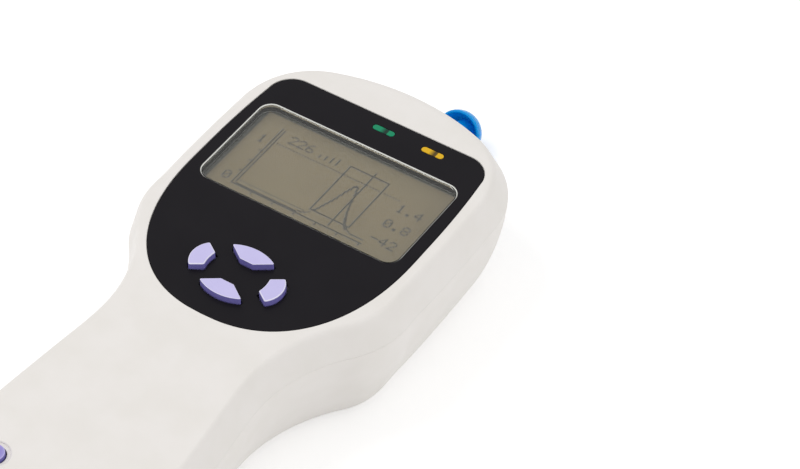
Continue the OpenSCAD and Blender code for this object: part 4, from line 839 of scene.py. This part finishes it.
power_cap = turning("power_key_cap", [
    (0, POWER_END), (POWER_FLANGE_R, POWER_END), (POWER_FLANGE_R, FLANGE_TOP), (POWER_KEY_R, FLANGE_TOP),
    (POWER_KEY_R, POWER_TOP - 0.35), (POWER_KEY_R - 0.08, POWER_TOP - 0.15),
    (POWER_KEY_R - 0.3, POWER_TOP - 0.03), (0, POWER_TOP)], at(POWER_X, POWER_Y))
# Painted shade on the sides and a painted highlight on the rim, as for the other keys.
violet = shade_sides_light_rim(finish("Violet power key", (150, 142, 212), (146, 138, 208), (0.36, 0.46), 0.25, 0.006,
                         Specular_IOR_Level=0.4), (112, 106, 178), (196, 190, 238))
dress(smooth(power_cap), violet, "power_key", ["power_key"])
# The openings for the two lenses are the last cut in the front shell.
LENS_PLACES = {"green": 1.4, "amber": 16.5}
LENS_Y, LENS_L, LENS_W, LENS_GAP = WINDOW_Y + 23.4, 6.6, 1.85, 0.2


def pill(x, grow=0.0):
    """A lens's outline: straight sides between two half rounds."""
    r, reach = (LENS_W + grow) / 2, (LENS_L + grow - (LENS_W + grow)) / 2
    return (turned((x + reach, LENS_Y), r, [-90 + 12 * k for k in range(16)])
            + turned((x - reach, LENS_Y), r, [90 + 12 * k for k in range(16)]))


for x in LENS_PLACES.values():
    cut(front_shell, prism("lens_opening", pill(x, LENS_GAP), CEILING_Z - 1, FACE_Z))
dress(smooth(front_shell), housing_white, "housing", ["front_shell"])


# Front panel: a black hard-coated plate bonded in the recess, and cut through for the window, the two
# lenses and the four keys. Its edges are broken, and the chamfer round the window is painted near white as a
# highlight.
panel_black = finish("Black hard-coated panel", (26, 24, 28), (24, 22, 26), (0.3, 0.36), 0.4, 0.0015,
                     Specular_IOR_Level=0.08)
# A near-white colour for the chamfer round the window: a painted highlight.
window_chamfer_highlight = finish("Painted highlight on the window chamfer", (236, 236, 230), (228, 229, 223), (0.16, 0.26),
                       0.6, 0.001)
PANEL_TOP = FACE_Z - PANEL_STEP
CUT_GAP, CHAMFER, EDGE_BREAK = 0.1, 0.24, 0.16


def window_outline(grow):
    return rounded(WINDOW_W + 2 * grow, WINDOW_H + 2 * grow, WINDOW_R + grow, (0, WINDOW_Y), 8)


panel = loft("panel_plate", levels(panel_outline, [
    (0, RECESS_Z), (0, PANEL_TOP - EDGE_BREAK), (-0.05, PANEL_TOP - 0.05), (-EDGE_BREAK, PANEL_TOP)]))
cut(panel, loft("window_cut", levels(window_outline, [
    (CUT_GAP, RECESS_Z - 1), (CUT_GAP, PANEL_TOP - CHAMFER), (CUT_GAP + CHAMFER + 0.02, PANEL_TOP + 0.02),
    (CUT_GAP + CHAMFER + 0.02, FACE_Z)])))
for name in key_places:
    cut(panel, prism("key_cut", key_outline(name, KEY_GAP), RECESS_Z - 1, FACE_Z))
for x in LENS_PLACES.values():
    cut(panel, prism("lens_cut", pill(x, LENS_GAP), RECESS_Z - 1, FACE_Z))
dress(smooth(panel), panel_black, "housing", ["front_panel"])
panel.data.materials.append(window_chamfer_highlight)
# The faces of the window chamfer take the painted highlight.
for face in panel.data.polygons:
    x, y = face.center.x / MM, face.center.y / MM - WINDOW_Y
    if abs(x) < WINDOW_W / 2 + 1 and abs(y) < WINDOW_H / 2 + 1 and 0.2 < face.normal.z < 0.95:
        face.material_index = 1


# Window: a clear stepped pane, held by its flange under the panel, with a polished bevel round the
# top that catches the light.
clear_pane = finish("Clear acrylic pane", (246, 248, 246), (242, 245, 242), (0.01, 0.03), 0.8, 0.0005,
                    Transmission_Weight=1.0, IOR=1.49, Specular_IOR_Level=0.25)
tree = clear_pane.node_tree
rays = add_node(tree, "ShaderNodeLightPath")
daylight = maths(tree, "ADD", rays.outputs["Is Shadow Ray"], rays.outputs["Is Diffuse Ray"], use_clamp=True)
see_through = add_node(tree, "ShaderNodeBsdfTransparent")
lit_through = add_node(tree, "ShaderNodeMixShader", {
    0: daylight, 1: tree.nodes["Principled BSDF"].outputs[0], 2: see_through.outputs[0]})
tree.links.new(lit_through.outputs[0], tree.nodes["Material Output"].inputs["Surface"])
PANE_TOP, PANE_FLANGE, FLANGE_Z = PANEL_TOP - 0.05, 1.15, RECESS_Z - 0.1
pane = loft("window_pane", levels(window_outline, [
    (PANE_FLANGE, CEILING_Z + 0.1), (PANE_FLANGE, FLANGE_Z), (0, FLANGE_Z), (0, PANE_TOP - 0.3),
    (-0.08, PANE_TOP - 0.08), (-0.3, PANE_TOP)]))
dress(smooth(pane, 20), clear_pane, "housing", ["display_window"])


# Lenses: two tinted light guides, pill-shaped on the face, that bring the light of the diodes up.
# The foot of each guide shows through as a darker patch.
def lens_tint(name, colour, deep, x):
    """A tinted plastic with the darker patch of the guide's foot near its middle."""
    material = finish(name, colour, colour, (0.2, 0.28), 0.4, 0.001, Specular_IOR_Level=0.25)
    tree = material.node_tree
    across = rising(tree, object_axes(tree)["X"], (x - 0.9) * MM, (x + 1.5) * MM)
    ramp = add_node(tree, "ShaderNodeValToRGB", {"Fac": across})
    stops = ramp.color_ramp.elements
    stops[0].color = stops[1].color = (0, 0, 0, 1)
    stops.new(0.62).color = (1, 1, 1, 1)
    stops.new(0.9).color = (0.9, 0.9, 0.9, 1)
    stops[-1].position = 0.97
    return paint_over(material, ramp.outputs["Color"], deep)


tints = {"green": ((0, 138, 96), (0, 40, 32)), "amber": ((226, 178, 20), (74, 56, 8))}
GUIDE_FLANGE, GUIDE_BOTTOM, GUIDE_STEP = 1.6, 35.8, 36.9
for name, x in LENS_PLACES.items():
    guide = loft(name + "_light_guide", levels(lambda grow: pill(x, grow), [
        (GUIDE_FLANGE, GUIDE_BOTTOM), (GUIDE_FLANGE, GUIDE_STEP), (0, GUIDE_STEP), (0, PANEL_TOP - 0.14),
        (-0.1, PANEL_TOP - 0.03), (-0.3, PANEL_TOP)]))
    fuse(guide, rod("foot", 1.5, BOARD_TOP + 1.1, 36.5, at(x, LENS_Y)))
    dress(smooth(guide), lens_tint(name.capitalize() + " tinted lens", *tints[name], x),
          "housing", [name + "_lens"])


# Battery cover: the lower part of the tail, in the same white plastic. It hangs in the hull by two
# hooks and slides off towards the tail, with five grooves across it for the thumb.
cover = keep(hull_skin("tail_cover"),
             box("tail_part", -70, TAIL_Y - 10, -1, 70, bulkhead_y - COVER_GAP, COVER_Z))
GROOVES, GROOVE_R, GROOVE_HALF, GROOVE_PITCH = 5, 1.5, 12, 3.2
for k in range(GROOVES):
    across = at(0, bulkhead_y - 12 - GROOVE_PITCH * k, -0.9) @ Matrix.Rotation(math.pi / 2, 4, "Y")
    cut(cover, rod("groove", GROOVE_R, -GROOVE_HALF, GROOVE_HALF, across))
for x in HOOKS_X:
    west, east, hook_top = x - HOOK_HALF, x + HOOK_HALF, FLOOR_T + 1.3
    fuse(cover, box("root", west, bulkhead_y - 4.2, FLOOR_T - 0.3, east, bulkhead_y - 0.2, hook_top),
         box("hook", west, bulkhead_y - 1.2, FLOOR_T + 0.3, east, bulkhead_y + 2.4, hook_top))
dress(smooth(cover), housing_white, "cover", ["battery_cover"])


# Housing screws: six zinc-plated self-tapping screws, sunk in the towers of the rear hull. They go in
# from below and bite in the pilot holes of the front shell.
dress_nodes(housing_screws=plated_screw)


# Nose cone, probe tip and ear tip: the cone screws over the core and holds the replaceable tip, and
# the soft blue silicone mushroom is pushed over it for each ear.
cone_white = finish("White cone moulding", (236, 234, 230), (232, 230, 225), (0.34, 0.44), 0.3, 0.008,
                    Specular_IOR_Level=0.4)
tip_clear = finish("Clear tip moulding", (224, 230, 232), (216, 223, 226), (0.1, 0.18), 0.5, 0.002,
                   Transmission_Weight=0.5, IOR=1.49)
blue_silicone = finish("Blue silicone", (0, 168, 248), (0, 158, 242), (0.14, 0.22), 0.5, 0.002,
                       Transmission_Weight=0.2, IOR=1.41, Specular_IOR_Level=0.3)
dress_nodes(nose_cone=cone_white, probe_tip=tip_clear, ear_tip=blue_silicone)


# Studio: a pale floor that keeps the soft shadow, a large lamp high above, towards the left of the
# view, a lower fill from the right and a pale world. The camera looks down on the display.
def seen_directly(tree):
    """One for what the camera sees, also in a reflection or through glass, and none for diffuse light."""
    rays = add_node(tree, "ShaderNodeLightPath")
    seen = rays.outputs["Is Camera Ray"]
    for kind in ("Is Glossy Ray", "Is Transmission Ray"):
        seen = maths(tree, "ADD", seen, rays.outputs[kind], use_clamp=True)
    return seen


FLOOR_HALF, FLOOR_LIFT, SKY_LIGHT = 3000, 0.345, 0.67
floor_mesh = bmesh.new()
floor_mesh.faces.new([floor_mesh.verts.new((x * FLOOR_HALF, y * FLOOR_HALF, 0)) for x, y in SQUARE])
floor = piece_of("studio_floor", floor_mesh)
floor.location.z = -0.0002
paper = bpy.data.materials.new("White paper floor")
paper.use_nodes = True
tree = paper.node_tree
shader = tree.nodes["Principled BSDF"]
shader.inputs["Base Color"].default_value = (0.9, 0.9, 0.9, 1)
shader.inputs["Roughness"].default_value = 0.9
shader.inputs["Specular IOR Level"].default_value = 0.0
lift = maths(tree, "MULTIPLY", seen_directly(tree), FLOOR_LIFT)
glow = add_node(tree, "ShaderNodeEmission", {"Strength": lift})
both = add_node(tree, "ShaderNodeAddShader", {0: shader.outputs[0], 1: glow.outputs[0]})
tree.links.new(both.outputs[0], tree.nodes["Material Output"].inputs["Surface"])
floor.data.materials.append(paper)

world = bpy.data.worlds.new("Pale studio")
world.use_nodes = True
tree = world.node_tree
sky = tree.nodes["Background"]
sky.inputs["Color"].default_value = (1, 1, 1, 1)
strength = maths(tree, "MULTIPLY_ADD", seen_directly(tree), 1 - SKY_LIGHT, SKY_LIGHT)
tree.links.new(strength, sky.inputs["Strength"])
bpy.context.scene.world = world


def lamp(name, place, aim, size, power):
    light = bpy.data.lights.new(name, "AREA")
    light.shape, light.size, light.energy = "DISK", size, power
    holder = bpy.data.objects.new(name, light)
    holder.location = place
    holder.rotation_mode = "QUATERNION"
    holder.rotation_quaternion = (Vector(aim) - Vector(place)).to_track_quat("-Z", "Y")
    bpy.context.scene.collection.objects.link(holder)


lamp("key_lamp", (-0.6, -0.3, 1.2), (0, 0, 0.02), 0.7, 5.2)
lamp("fill_lamp", (1.4, 0.15, 0.6), (0, 0, 0.02), 1.0, 3.3)

camera = bpy.data.objects.new("camera", bpy.data.cameras.new("camera"))
camera.data.lens, camera.data.sensor_width = 135, 36
camera.data.clip_start = 0.01
right, up = Vector((0.8342, 0.5515, 0)), Vector((-0.3952, 0.5978, 0.6975))
forward = Vector((-0.3847, 0.5818, -0.7166))
turn = Matrix((right, up, -forward)).transposed()
camera.rotation_mode = "QUATERNION"
camera.rotation_quaternion = turn.to_quaternion()
camera.location = (0.3150, -0.4044, 0.5788)
bpy.context.scene.collection.objects.link(camera)
bpy.context.scene.camera = camera
bpy.context.scene.view_settings.view_transform = "Standard"
